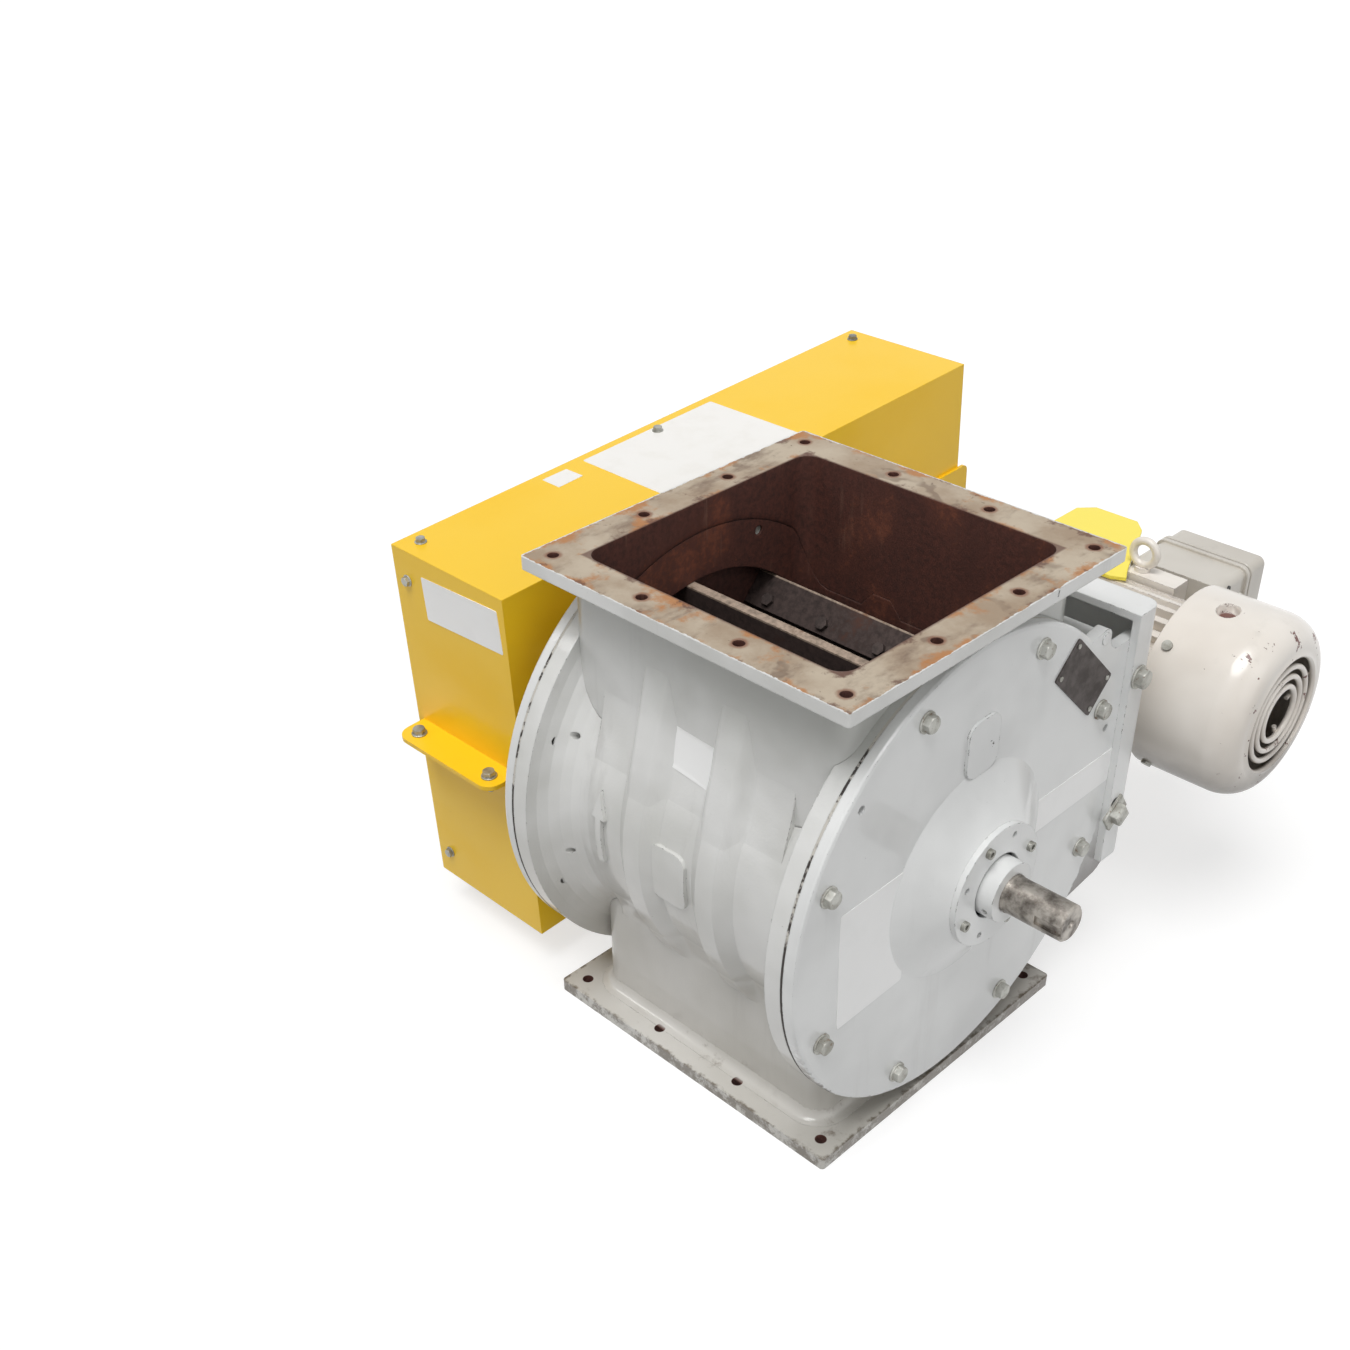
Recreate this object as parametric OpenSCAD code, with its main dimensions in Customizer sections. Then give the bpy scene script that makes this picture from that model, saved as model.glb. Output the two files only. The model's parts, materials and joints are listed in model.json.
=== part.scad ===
// Rotary airlock valve with a belt-driven gearmotor.
// X is the rotor axis (+X leaves through the bare shaft stub), +Z is up,
// and the origin is the centre of the outlet flange's bottom face.

/* [Housing] */
// Height from the outlet flange face to the inlet flange face
housing_h = 520; // [510:1:560]
// Inside diameter of the housing bore
bore_d = 356; // [340:1:364]
// Wall of the housing barrel
barrel_wall = 15; // [12:1:18]
// Length of the housing between its end faces
housing_len = 344; // [332:1:360]
// Outside diameter of the end rings and end plates
end_ring_d = 480; // [474:1:486]
// Width of each end ring's rim
end_ring_w = 18; // [14:1:24]
// Length of the flare from an end ring down to the barrel
flare_len = 36; // [28:1:44]
// Distance of each stiffening rib from the middle of the barrel
rib_offset = 47; // [40:1:56]
// Width of each stiffening rib
rib_w = 30; // [22:1:36]
// Height of the ribs above the barrel
rib_h = 11; // [6:1:14]

/* [Flanges] */
// Side of the square inlet flange
inlet_flange_w = 386; // [384:1:400]
// Side of the square outlet flange
outlet_flange_w = 368; // [360:1:380]
// Thickness of both flanges
flange_t = 13; // [10:1:16]
// Side of the square inlet opening
inlet_open_w = 305; // [280:1:312]
// Side of the square outlet opening
outlet_open_w = 280; // [260:1:288]
// Corner radius of both openings
open_corner_r = 18; // [10:1:28]
// Wall of both throats
throat_wall = 12; // [9:1:14]
// Pitch of the inlet flange bolts, four on each side
inlet_pitch = 114.3; // [112:0.1:118]
// Pitch of the outlet flange bolts, four on each side
outlet_pitch = 109.5; // [107:0.1:113]
// Diameter of the flange bolt holes
flange_hole_d = 11; // [9:0.5:13]

/* [End plates] */
// Thickness of each end plate
plate_t = 12; // [10:1:15]
// Thickness of the gasket under each end plate
gasket_t = 2.5; // [1.5:0.5:4]
// Diameter of the end plate bolt circle
plate_bolt_pcd = 432; // [422:1:444]
// Number of bolts in each end plate
plate_bolt_count = 8; // [6:1:10]
// Diameter of the end plate bolts
plate_bolt_d = 10; // [8:1:12]
// Diameter of the bearing boss where it meets the plate
boss_base_d = 224; // [210:1:236]
// Diameter of the bearing boss at its face
boss_face_d = 124; // [118:1:132]
// Height of the bearing boss above the plate
boss_h = 28; // [26:1:34]
// Reach of the plate's side wing from the rotor axis
wing_reach = 258; // [252:1:266]
// Height of the wing's top edge above the rotor axis
wing_top = 145; // [138:1:150]
// Depth of the wing's bottom edge below the rotor axis
wing_bottom = 138; // [125:1:145]

/* [Shaft and bearings] */
// Diameter of the rotor shaft inside the valve and under the sheave
shaft_d = 38; // [34:0.5:40]
// Diameter of the bare shaft stub
stub_d = 36.5; // [30:0.5:36.5]
// Reach of the bare shaft stub from the middle of the housing
stub_reach = 300; // [285:1:320]
// Outside diameter of the rotor bearings
bearing_od = 80; // [78:1:86]
// Width of the rotor bearings
bearing_w = 18; // [16:1:20]
// Balls in each rotor bearing
ball_count = 9; // [7:1:10]
// Outside diameter of the lock collars
collar_d = 60; // [54:1:62]
// Length of the lock collars
collar_len = 20; // [16:1:24]
// Outside diameter of the shaft packing
packing_od = 58; // [52:1:64]
// Radial running clearance of shafts and bearings
run_clear = 0.05; // [0.02:0.01:0.1]

/* [Rotor] */
// Number of rotor vanes
vane_count = 8; // [6:1:10]
// Thickness of the vane plates
vane_t = 8; // [6:1:10]
// Diameter of the rotor hub tube
hub_d = 90; // [80:1:100]
// Radial height of the adjustable tip bars
tip_h = 38; // [32:1:44]
// Thickness of the tip bars
tip_t = 10; // [8:1:12]
// Gap between the tip bars and the bore
tip_gap = 0.6; // [0.4:0.1:1]
// Gap between the rotor and each end plate
side_gap = 0.6; // [0.4:0.1:1]
// Angle of the first vane above the horizontal
vane_start = 3; // [0:1:44]

/* [Belt drive] */
// Distance between the rotor axis and the drive axis
centre_dist = 410; // [404:1:418]
// Tilt of the line of centres, drive end up
centre_tilt = 2.5; // [0:0.5:4]
// Outside diameter of the driven sheave
driven_d = 300; // [290:1:306]
// Outside diameter of the driver sheave
driver_d = 120; // [112:1:126]
// Distance of the belt plane from the middle of the housing
belt_plane = 300; // [292:1:306]
// Width of the top of each belt
belt_w = 16.5; // [14:0.5:17]
// Height of each belt
belt_h = 10.5; // [9:0.5:12]
// Pitch of the belt grooves
groove_pitch = 19; // [18.5:0.5:21]
// Clearance between a belt and its groove
belt_clear = 0.4; // [0.3:0.05:0.6]

/* [Belt guard] */
// Distance of the guard's inner wall from the middle of the housing
guard_inner = 227; // [224:1:232]
// Width of the guard along the shafts
guard_w = 170; // [162:1:180]
// Height of the guard
guard_h = 417; // [405:1:430]
// Room between the driven sheave and the guard's end wall
guard_room_driven = 32; // [26:1:42]
// Room between the driver sheave and the guard's end wall
guard_room_driver = 56; // [48:1:64]
// Thickness of the guard sheet
guard_sheet = 2.5; // [2:0.5:3]
// Reach of the guard's bolted ears
ear_reach = 38; // [32:1:44]
// Depth of the rims of the guard covers
cover_rim = 34; // [28:1:42]

/* [Motor mount] */
// Thickness of the folded motor plate
motor_plate_t = 8; // [6:1:10]
// Depth of the motor plate's folded edges
motor_plate_fold = 37; // [34:1:42]
// Height of the motor plate's top above the rotor axis
motor_plate_top = 173; // [166:1:180]
// Depth of the motor plate's bottom below the rotor axis
motor_plate_bottom = 118; // [110:1:124]
// Diameter of the tie bar between the end plates
tie_bar_d = 12; // [10:0.5:14]
// Diameter of the motor plate bolts
mount_bolt_d = 12; // [10:1:14]

/* [Gear reducer] */
// Teeth of each reducer pinion
pinion_teeth = 16; // [15:1:18]
// Teeth of each reducer wheel
wheel_teeth = 40; // [38:1:42]
// Module of the reducer teeth
gear_module = 2; // [1.8:0.1:2.1]
// Width of the reducer wheels
wheel_w = 18; // [14:1:20]
// Outside diameter of the reducer barrel
case_d = 136; // [130:1:142]
// Wall of the reducer case
case_wall = 8; // [6:1:10]
// Length of the reducer barrel
case_len = 150; // [144:1:156]
// Distance of the reducer's motor end past the middle of the housing
case_end = 10; // [4:1:16]
// Length of the reducer's output snout
snout_len = 76; // [70:1:80]
// Diameter of the reducer's output shaft
output_d = 30; // [26:1:32]

/* [Motor] */
// Diameter of the motor frame under its fins
frame_d = 120; // [114:1:122]
// Height of the motor's cooling fins
fin_h = 14; // [11:1:15]
// Number of cooling fins round a full turn
fin_count = 26; // [26:1:34]
// Length of the motor frame
frame_len = 132; // [126:1:140]
// Outside diameter of the fan cowl
cowl_d = 200; // [196:1:210]
// Length of the fan cowl
cowl_len = 116; // [110:1:122]
// Diameter of the cowl's air grille
grille_d = 124; // [116:1:130]
// Diameter of the motor shaft
motor_shaft_d = 20; // [18:1:22]
// Length of the terminal box
box_len = 108; // [100:1:114]
// Height of the terminal box
box_h = 138; // [130:1:146]
// Depth of the terminal box base
box_depth = 62; // [54:1:68]
// Depth of the terminal box lid
lid_depth = 34; // [28:1:40]

/* [Hidden] */
$fn = 96;

axis_z = housing_h / 2;
half_len = housing_len / 2;
bore_r = bore_d / 2;
barrel_r = bore_r + barrel_wall;
rib_r = barrel_r + rib_h;
ring_r = end_ring_d / 2;
slip = 0.3;              // gap between parts that bolt up or slip together
thread_d_gap = 0.2;      // gap round a bolt in its threaded hole
bolt_hole_gap = 1;       // a clearance hole is this much wider than its bolt

plate_x0 = half_len + gasket_t;
plate_x1 = plate_x0 + plate_t;
boss_x = plate_x1 + boss_h;
boss_face_r = boss_face_d / 2;
shaft_r = shaft_d / 2;
stub_r = stub_d / 2;

drive_y = centre_dist * cos(centre_tilt);
drive_z = axis_z + centre_dist * sin(centre_tilt);

retainer_t = 6;
bearing_x1 = boss_x;
bearing_x0 = bearing_x1 - bearing_w;
retainer_x1 = boss_x + retainer_t;
retainer_pcd = (bearing_od + boss_face_d) / 2;
retainer_screw_d = 6;
retainer_screw_len = 14;
retainer_holes = 8;
bearing_lip = 3;                     // plate left between the bearing and the packing
packing_x1 = bearing_x0 - bearing_lip;
packing_x0 = plate_x0 + bearing_lip;
race_gap = (bearing_od - shaft_d) / 2;
ring_wall = race_gap * 0.3;
ball_r = (race_gap - 2 * ring_wall) / 2 - slip + 2;
ball_pcd = (bearing_od + shaft_d) / 2;
collar_x0 = retainer_x1 - 4;
collar_x1 = collar_x0 + collar_len;

rotor_half = plate_x0 - side_gap;
tip_r = bore_r - tip_gap;
vane_r = tip_r - tip_h / 2;

drive_plate_x = belt_plane + groove_pitch + 26;   // far end of both drive shafts
sheave_w = groove_pitch + belt_w + 8;
wedge = 18;                                       // half angle of a belt groove
driven_r = driven_d / 2;
driver_r = driver_d / 2;
belt_tilt = asin((driven_r - driver_r) / centre_dist);
belt_run = sqrt(pow(centre_dist, 2) - pow(driven_r - driver_r, 2));
bushing_r = 42;
bushing_flange_r = 52;

guard_x0 = -(guard_inner + guard_w);
guard_y0 = -(driven_r + guard_room_driven);
guard_y1 = centre_dist + driver_r + guard_room_driver;
guard_top = guard_h / 2;
ear_bolt_d = 8;
ear_bolt_y = ear_reach * 0.55;
screw_d = 6;

bend_r = 14;                         // outer radius of the motor plate's bends
web_y0 = wing_reach + bend_r - motor_plate_t;
web_y1 = web_y0 + motor_plate_t;
fold_y0 = web_y1 - motor_plate_fold;
fold_x0 = plate_x1;
fold_x1 = fold_x0 + motor_plate_t;
nut_room = 0.87 * mount_bolt_d + 1.5;   // a nut beside an end ring needs this much
pivot_angle = 22.2;
pivot_r = ring_r + nut_room + 16;
pivot_y = pivot_r * cos(pivot_angle);
pivot_z = axis_z + pivot_r * sin(pivot_angle);
clamp_angle = -13.4;
clamp_r = ring_r + nut_room;
clamp_y = clamp_r * cos(clamp_angle);
clamp_z = axis_z + clamp_r * sin(clamp_angle);
slot_len = 34;
tie_angle = 40.8;
tie_r = ring_r + tie_bar_d / 2 + 5;
tie_y = tie_r * cos(tie_angle);
tie_rise = tie_r * sin(tie_angle);

stage_dist = gear_module * (pinion_teeth + wheel_teeth) / 2;
case_x1 = case_end;
case_x0 = case_x1 - case_len;
case_r = case_d / 2;
cavity_x0 = case_x0 + case_wall + 8;   // the case is thicker round its end bearings
snout_x0 = case_x0 - snout_len;
snout_r = 40;
wheel_r = gear_module * (wheel_teeth + 2) / 2;
lay_z = drive_z - stage_dist;
lay_case_r = wheel_r + 4 + case_wall;
foot_t = 16;
foot_half_x = 66;
foot_half_z = 84;
neck_half_x = foot_half_x - 28;        // the case's neck passes between the foot nuts
foot_x = (case_x0 + case_x1) / 2;
foot_bolt_x = foot_half_x - 14;
foot_bolt_z = foot_half_z - 14;
out_bearing_od = 62;
out_bearing_w = 16;
lay_bearing_od = 35;
lay_bearing_w = 11;
lay_d = 17;
stage2_x = cavity_x0 + 12;           // near edge of the output wheel
stage1_x = case_x1 - 44;             // near edge of the layshaft wheel
cover_t = 14;
cover_x1 = case_x1 + cover_t;
cover_d = case_d + 12;
pad_rise = 8;                        // pad on top of the case, under the yellow plate
pad_y = drive_y + 22;
plate_seat_z = drive_z + case_r + pad_rise;
foot_z = drive_z - 20;               // middle of the reducer's foot

motor_x0 = cover_x1;
shield_t = 12;
shield_d = frame_d + 2 * fin_h - 8;
frame_x0 = motor_x0 + shield_t;
frame_x1 = frame_x0 + frame_len;
shield_x1 = frame_x1 + shield_t;
frame_r = frame_d / 2;
frame_wall = 9;
fin_r = frame_r + fin_h;
fin_t = 7;
cowl_x0 = frame_x1 - 8;
cowl_x1 = cowl_x0 + cowl_len;
cowl_r = cowl_d / 2;
cowl_t = 2.5;
cowl_round = 30;
cowl_screw_x = cowl_x0 + 14;
grille_r = grille_d / 2;
motor_bearing_od = 47;
motor_bearing_w = 12;
fan_x0 = shield_x1 + 14;
fan_w = 32;
fan_r = cowl_r - 18;
box_x0 = frame_x0 + 4;
box_x1 = box_x0 + box_len;
box_y0 = drive_y + fin_r + 2;
box_y1 = box_y0 + box_depth;
lid_y1 = box_y1 + 2 + lid_depth;
box_z0 = drive_z - box_h / 2;
box_z1 = drive_z + box_h / 2;
box_wall = 5;
box_gasket_t = 2;
box_screw_d = 5;
eye_x = frame_x0 + 34;
eye_side = 48;                       // from the motor axis towards the terminal box
eye_y = drive_y + eye_side;

// ---- helpers ----

module x_cyl(d, x0, x1) {
  translate([x0, 0, 0]) rotate([0, 90, 0]) cylinder(d = d, h = x1 - x0);
}

module x_tube(d_out, d_in, x0, x1) {
  difference() {
    x_cyl(d_out, x0, x1);
    x_cyl(d_in, x0 - 1, x1 + 1);
  }
}

// Solid of revolution about X from points [radius, x].
module x_turn(points) {
  rotate([0, 90, 0]) rotate_extrude() polygon(points);
}

// Extrudes a shape drawn in (Y, Z) along X.
module x_extrude(x0, x1) {
  translate([x0, 0, 0]) rotate([90, 0, 90]) linear_extrude(x1 - x0) children();
}

module at_rotor() {
  translate([0, 0, axis_z]) children();
}

// Frame whose Y axis is the line of centres, from the rotor axis to the drive axis.
module at_line() {
  at_rotor() rotate([centre_tilt, 0, 0]) children();
}

module at_drive() {
  translate([0, drive_y, drive_z]) children();
}

module at_layshaft() {
  translate([0, drive_y, lay_z]) children();
}

module both_ends() {
  children();
  mirror([1, 0, 0]) children();
}

// Copies round the X axis, the first at the angle start above +Y.
module round_x(count, r, start = 0) {
  for (i = [0 : count - 1])
    rotate([start + i * 360 / count, 0, 0]) translate([0, r, 0]) children();
}

module rounded_square(w, h, r) {
  square([w - 2 * r, h], center = true);
  square([w, h - 2 * r], center = true);
  for (sx = [-1, 1], sy = [-1, 1])
    translate([sx * (w / 2 - r), sy * (h / 2 - r)]) circle(r = r);
}

module rounded_block(w, d, r, z0, z1) {
  translate([0, 0, z0]) linear_extrude(z1 - z0) rounded_square(w, d, r);
}

// Hex bolt along X with its washer face at x_face, head towards +X.
module x_bolt(d, x_face, length) {
  washer = 0.2 * d;
  translate([x_face, 0, 0]) rotate([0, 90, 0]) {
    cylinder(d = 2.1 * d, h = washer);
    translate([0, 0, washer]) cylinder(d = 1.73 * d, h = 0.65 * d, $fn = 6);
    translate([0, 0, -length]) cylinder(d = d, h = length + washer);
  }
}

// Hex nut along X on the shank of a bolt, from x0 towards +X.
module x_nut(d, x0, height) {
  translate([x0, 0, 0]) rotate([0, 90, 0]) cylinder(d = 1.73 * d, h = height, $fn = 6);
}

// Centres of the twelve bolts of a square flange, four on each side.
function flange_bolts(pitch) = [
  for (i = [0 : 3], j = [0 : 3]) if (i == 0 || i == 3 || j == 0 || j == 3)
    [(i - 1.5) * pitch, (j - 1.5) * pitch]
];

module flange_holes(pitch, z0, z1) {
  for (p = flange_bolts(pitch))
    translate([p[0], p[1], z0 - 1]) cylinder(d = flange_hole_d, h = z1 - z0 + 2);
}

// ---- housing ----

// One half of the barrel's outline as [radius, x], from the middle to an end.
function barrel_half() = concat(
  [[barrel_r, 0],
   [barrel_r, rib_offset - rib_w / 2 - rib_h],
   [barrel_r + rib_h * 0.75, rib_offset - rib_w / 2],
   [rib_r, rib_offset - rib_w / 2 + 4],
   [rib_r, rib_offset + rib_w / 2 - 4],
   [barrel_r + rib_h * 0.75, rib_offset + rib_w / 2],
   [barrel_r, rib_offset + rib_w / 2 + rib_h]],
  [for (a = [90 : -15 : 0])
    [ring_r - (ring_r - barrel_r) * sin(a),
     half_len - end_ring_w - flare_len * (1 - cos(a))]],
  [[ring_r, half_len], [0, half_len]]);

// Outside of the barrel with its end rings, solid right through.
module barrel_form() {
  at_rotor() both_ends() x_turn(concat([[0, 0]], barrel_half()));
}

// The barrel. The casting's two necks are nodes of their own and meet it face to face.
module housing() {
  color("gainsboro") difference() {
    union() {
      barrel_form();
      cast_pads();
    }
    at_rotor() x_cyl(bore_d, -half_len - 1, half_len + 1);
    rounded_block(inlet_open_w, inlet_open_w, open_corner_r, axis_z, housing_h + 1);
    rounded_block(outlet_open_w, outlet_open_w, open_corner_r, -1, axis_z);
    at_rotor() both_ends() round_x(plate_bolt_count, plate_bolt_pcd / 2, 180 / plate_bolt_count)
      x_cyl(plate_bolt_d + thread_d_gap, half_len - end_ring_w - 4, half_len + 1);
    at_rotor() both_ends() for (a = [155, 192])
      rotate([a, 0, 0]) translate([half_len - end_ring_w - 14, bore_r - 5, 0])
        rotate([-90, 0, 0]) cylinder(d = 7, h = ring_r);
  }
}

// Square neck from the barrel up to the inlet flange, with the ridges that run on from the ribs.
module inlet_neck() {
  outside = inlet_open_w + 2 * throat_wall;
  color("gainsboro") difference() {
    union() {
      rounded_block(outside, outside, open_corner_r + 6, axis_z, housing_h - 1);
      rounded_block(inlet_flange_w, inlet_flange_w, 4, housing_h - flange_t, housing_h);
      for (sx = [-1, 1], side = [0, 1]) mirror([0, side, 0])
        translate([sx * rib_offset, 0, 0]) throat_ridge(outside / 2);
    }
    barrel_form();
    rounded_block(inlet_open_w, inlet_open_w, open_corner_r, axis_z - 1, housing_h + 1);
    flange_holes(inlet_pitch, housing_h - flange_t, housing_h);
  }
}

// Square neck from the barrel down to the outlet flange.
module outlet_neck() {
  outside = outlet_open_w + 2 * throat_wall;
  color("gainsboro") difference() {
    union() {
      rounded_block(outside, outside, open_corner_r + 6, 1, axis_z);
      rounded_block(outlet_flange_w, outlet_flange_w, 4, 0, flange_t);
    }
    barrel_form();
    rounded_block(outlet_open_w, outlet_open_w, open_corner_r, -1, axis_z + 1);
    flange_holes(outlet_pitch, 0, flange_t);
  }
}

// Soft ridge on the neck's +Y wall that fades out towards the flange.
module throat_ridge(wall_y) {
  rise = 13;
  slope = 7;
  reach = sqrt(pow(rib_r, 2) - pow(wall_y, 2));   // height of the rib where it meets the wall
  top = reach + 62;
  intersection() {
    at_rotor() x_extrude(-rib_w, rib_w)
      polygon([[wall_y - 4, reach - 60], [wall_y + rise, reach - 60], [wall_y + rise, reach],
               [wall_y + 0.7 * rise, reach + 24], [wall_y - 1, top], [wall_y - 4, top]]);
    translate([0, 0, axis_z]) linear_extrude(ring_r)
      polygon([[-rib_w / 2 - 2, wall_y - 5], [-rib_w / 2 - 2, wall_y - 1],
               [slope - rib_w / 2, wall_y + rise + 1], [rib_w / 2 - slope, wall_y + rise + 1],
               [rib_w / 2 + 2, wall_y - 1], [rib_w / 2 + 2, wall_y - 5]]);
  }
}

// Raised arrow and plain pad cast on the barrel's -Y side.
module cast_pads() {
  arrow_x = -(half_len - end_ring_w - flare_len + rib_offset + rib_w / 2) / 2 - 10;
  raise = 4;
  at_rotor() intersection() {
    x_tube(2 * (barrel_r + raise), bore_d + 4, -half_len + 1, half_len - 1);
    rotate([90, 0, 0]) linear_extrude(ring_r) union() {
      translate([arrow_x, 5])
        polygon([[-4, -42], [4, -42], [4, 10], [9, 10], [0, 40], [-9, 10], [-4, 10]]);
      translate([-8, -6]) rounded_square(46, 62, 12);
    }
  }
}

// ---- end plates ----

// Outline of the boss as [radius, x], rising from the plate to the boss face.
function boss_curve() = [
  for (a = [0 : 15 : 180])
    [boss_face_r + (boss_base_d / 2 - boss_face_r) * (1 + cos(a)) / 2,
     plate_x1 + boss_h * (1 - cos(a)) / 2]
];

// Outline of the side wing in (Y, Z) from the rotor axis, with a lug round the tie bar.
module wing_shape() {
  corner = 26;
  lug_r = tie_bar_d / 2 + 4;
  neck_r = tie_rise - wing_top - 3;
  polygon(concat(
    [[0, 0], [(ring_r - 1) * cos(tie_angle + 4.5), (ring_r - 1) * sin(tie_angle + 4.5)]],
    [for (a = [105 : -15 : 0]) [tie_y + lug_r * cos(a), tie_rise + lug_r * sin(a)]],
    [for (a = [180 : 15 : 270])
      [tie_y + lug_r + neck_r + neck_r * cos(a), wing_top + neck_r + neck_r * sin(a)]],
    [[wing_reach - 4, wing_top], [wing_reach, wing_top - 4]],
    [for (a = [0 : -15 : -90])
      [wing_reach - corner + corner * cos(a), -wing_bottom + corner + corner * sin(a)]],
    [[190, -wing_bottom - 6]]));
}

module end_plate() {
  at_rotor() difference() {
    union() {
      x_turn(concat(
        [[0, plate_x0], [ring_r, plate_x0], [ring_r, plate_x1 - 3], [ring_r - 1, plate_x1 - 1],
         [ring_r - 4, plate_x1]],
        boss_curve(), [[0, boss_x]]));
      x_extrude(plate_x0, plate_x1) wing_shape();
    }
    x_cyl(bearing_od, bearing_x0, boss_x + 1);
    x_cyl(packing_od, packing_x0, packing_x1);
    x_cyl(shaft_d + 3, plate_x0 - 1, boss_x + 1);
    round_x(plate_bolt_count, plate_bolt_pcd / 2, 180 / plate_bolt_count)
      x_cyl(plate_bolt_d + bolt_hole_gap, plate_x0 - 1, plate_x1 + 1);
    round_x(retainer_holes, retainer_pcd / 2, 180 / retainer_holes)
      x_cyl(retainer_screw_d + thread_d_gap, boss_x - retainer_screw_len, boss_x + 1);
    for (a = [14, 137])
      rotate([a, 0, 0]) translate([0, ring_r - 18, 0]) x_cyl(8, plate_x0 - 1, plate_x1 + 1);
    translate([0, pivot_y, pivot_z - axis_z])
      x_cyl(mount_bolt_d + bolt_hole_gap, plate_x0 - 1, plate_x1 + 1);
    translate([0, clamp_y, clamp_z - axis_z])
      x_cyl(mount_bolt_d + bolt_hole_gap, plate_x0 - 1, plate_x1 + 1);
    translate([0, tie_y, tie_rise]) x_cyl(tie_bar_d + slip, plate_x0 - 1, plate_x1 + 1);
  }
}

module outboard_end_plate() {
  color("whitesmoke") difference() {
    union() {
      end_plate();
      // plain cast pad above the boss
      at_rotor() translate([0, 2, 136]) x_extrude(plate_x1 - 1, plate_x1 + 3)
        rounded_square(46, 58, 14);
    }
    at_rotor() nameplate_place() nameplate_rivet_rows(2.2, -6, 1);
  }
}

module drive_end_plate() {
  color("whitesmoke") mirror([1, 0, 0]) difference() {
    end_plate();
    mirror([1, 0, 0]) at_line() for (p = standoff_places())
      translate([0, p[0], p[1]]) x_cyl(ear_bolt_d + thread_d_gap, -plate_x1 - 1, -plate_x0 + 1);
  }
}

module end_plate_gaskets() {
  color("dimgray") at_rotor() both_ends() difference() {
    x_tube(end_ring_d, bore_d, half_len, plate_x0);
    round_x(plate_bolt_count, plate_bolt_pcd / 2, 180 / plate_bolt_count)
      x_cyl(plate_bolt_d + bolt_hole_gap, half_len - 1, plate_x0 + 1);
  }
}

module end_plate_bolts() {
  color("silver") at_rotor() both_ends()
    round_x(plate_bolt_count, plate_bolt_pcd / 2, 180 / plate_bolt_count)
      x_bolt(plate_bolt_d, plate_x1, plate_t + gasket_t + end_ring_w - 2);
}

// The nameplate lies slantwise between two plate bolts.
nameplate_w = 46;
nameplate_len = 95;
module nameplate_place() {
  translate([plate_x1, 158.5, 136]) rotate([45, 0, 0]) children();
}

module nameplate_rivet_rows(d, x0, x1) {
  edge = 6;
  for (sy = [-1, 1], sz = [-1, 1])
    translate([0, sy * (nameplate_w / 2 - edge), sz * (nameplate_len / 2 - edge)]) x_cyl(d, x0, x1);
}

module blank_nameplate() {
  color("dimgray") at_rotor() nameplate_place() difference() {
    x_extrude(0, 1.5) rounded_square(nameplate_w, nameplate_len, 3);
    nameplate_rivet_rows(2.4, -1, 3);
  }
}

module nameplate_rivets() {
  color("silver") at_rotor() nameplate_place() {
    nameplate_rivet_rows(2, -5.5, 1.5);
    nameplate_rivet_rows(5, 1.5, 2.6);
  }
}

// ---- bearings ----

module bearing_outer_rings() {
  color("lightsteelblue") at_rotor() both_ends() difference() {
    x_tube(bearing_od, bearing_od - 2 * ring_wall, bearing_x0, bearing_x1);
    rotate([0, 90, 0]) translate([0, 0, (bearing_x0 + bearing_x1) / 2])
      rotate_extrude() translate([ball_pcd / 2, 0]) circle(r = ball_r + slip);
  }
}

module bearing_balls() {
  color("silver") at_rotor() both_ends() round_x(ball_count, ball_pcd / 2)
    translate([(bearing_x0 + bearing_x1) / 2, 0, 0]) sphere(r = ball_r, $fn = 48);
}

module bearing_inner_rings() {
  color("lightsteelblue") at_rotor() both_ends() difference() {
    x_tube(shaft_d + 2 * ring_wall, shaft_d, bearing_x0, bearing_x1);
    rotate([0, 90, 0]) translate([0, 0, (bearing_x0 + bearing_x1) / 2])
      rotate_extrude() translate([ball_pcd / 2, 0]) circle(r = ball_r + slip);
  }
}

module bearing_retainers() {
  color("whitesmoke") at_rotor() both_ends() difference() {
    x_tube(boss_face_d, collar_d + 6, boss_x, retainer_x1);
    round_x(retainer_holes, retainer_pcd / 2, 180 / retainer_holes)
      x_cyl(retainer_screw_d + thread_d_gap, boss_x - 1, retainer_x1 + 1);
  }
}

// Every second hole holds a screw; the others are jacking holes.
module retainer_screws() {
  start = 180 / retainer_holes;
  color("silver") at_rotor() both_ends() round_x(retainer_holes / 2, retainer_pcd / 2, start) difference() {
    union() {
      x_cyl(retainer_screw_d, boss_x - retainer_screw_len, retainer_x1);
      x_cyl(10, retainer_x1, retainer_x1 + 4);
    }
    translate([retainer_x1 + 1.5, 0, 0]) rotate([0, 90, 0]) cylinder(d = 5.8, h = 4, $fn = 6);
  }
}

module shaft_packings() {
  color("darkkhaki") at_rotor() both_ends()
    x_tube(packing_od, shaft_d + 2 * run_clear, packing_x0, packing_x1);
}

// ---- rotor ----

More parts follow.
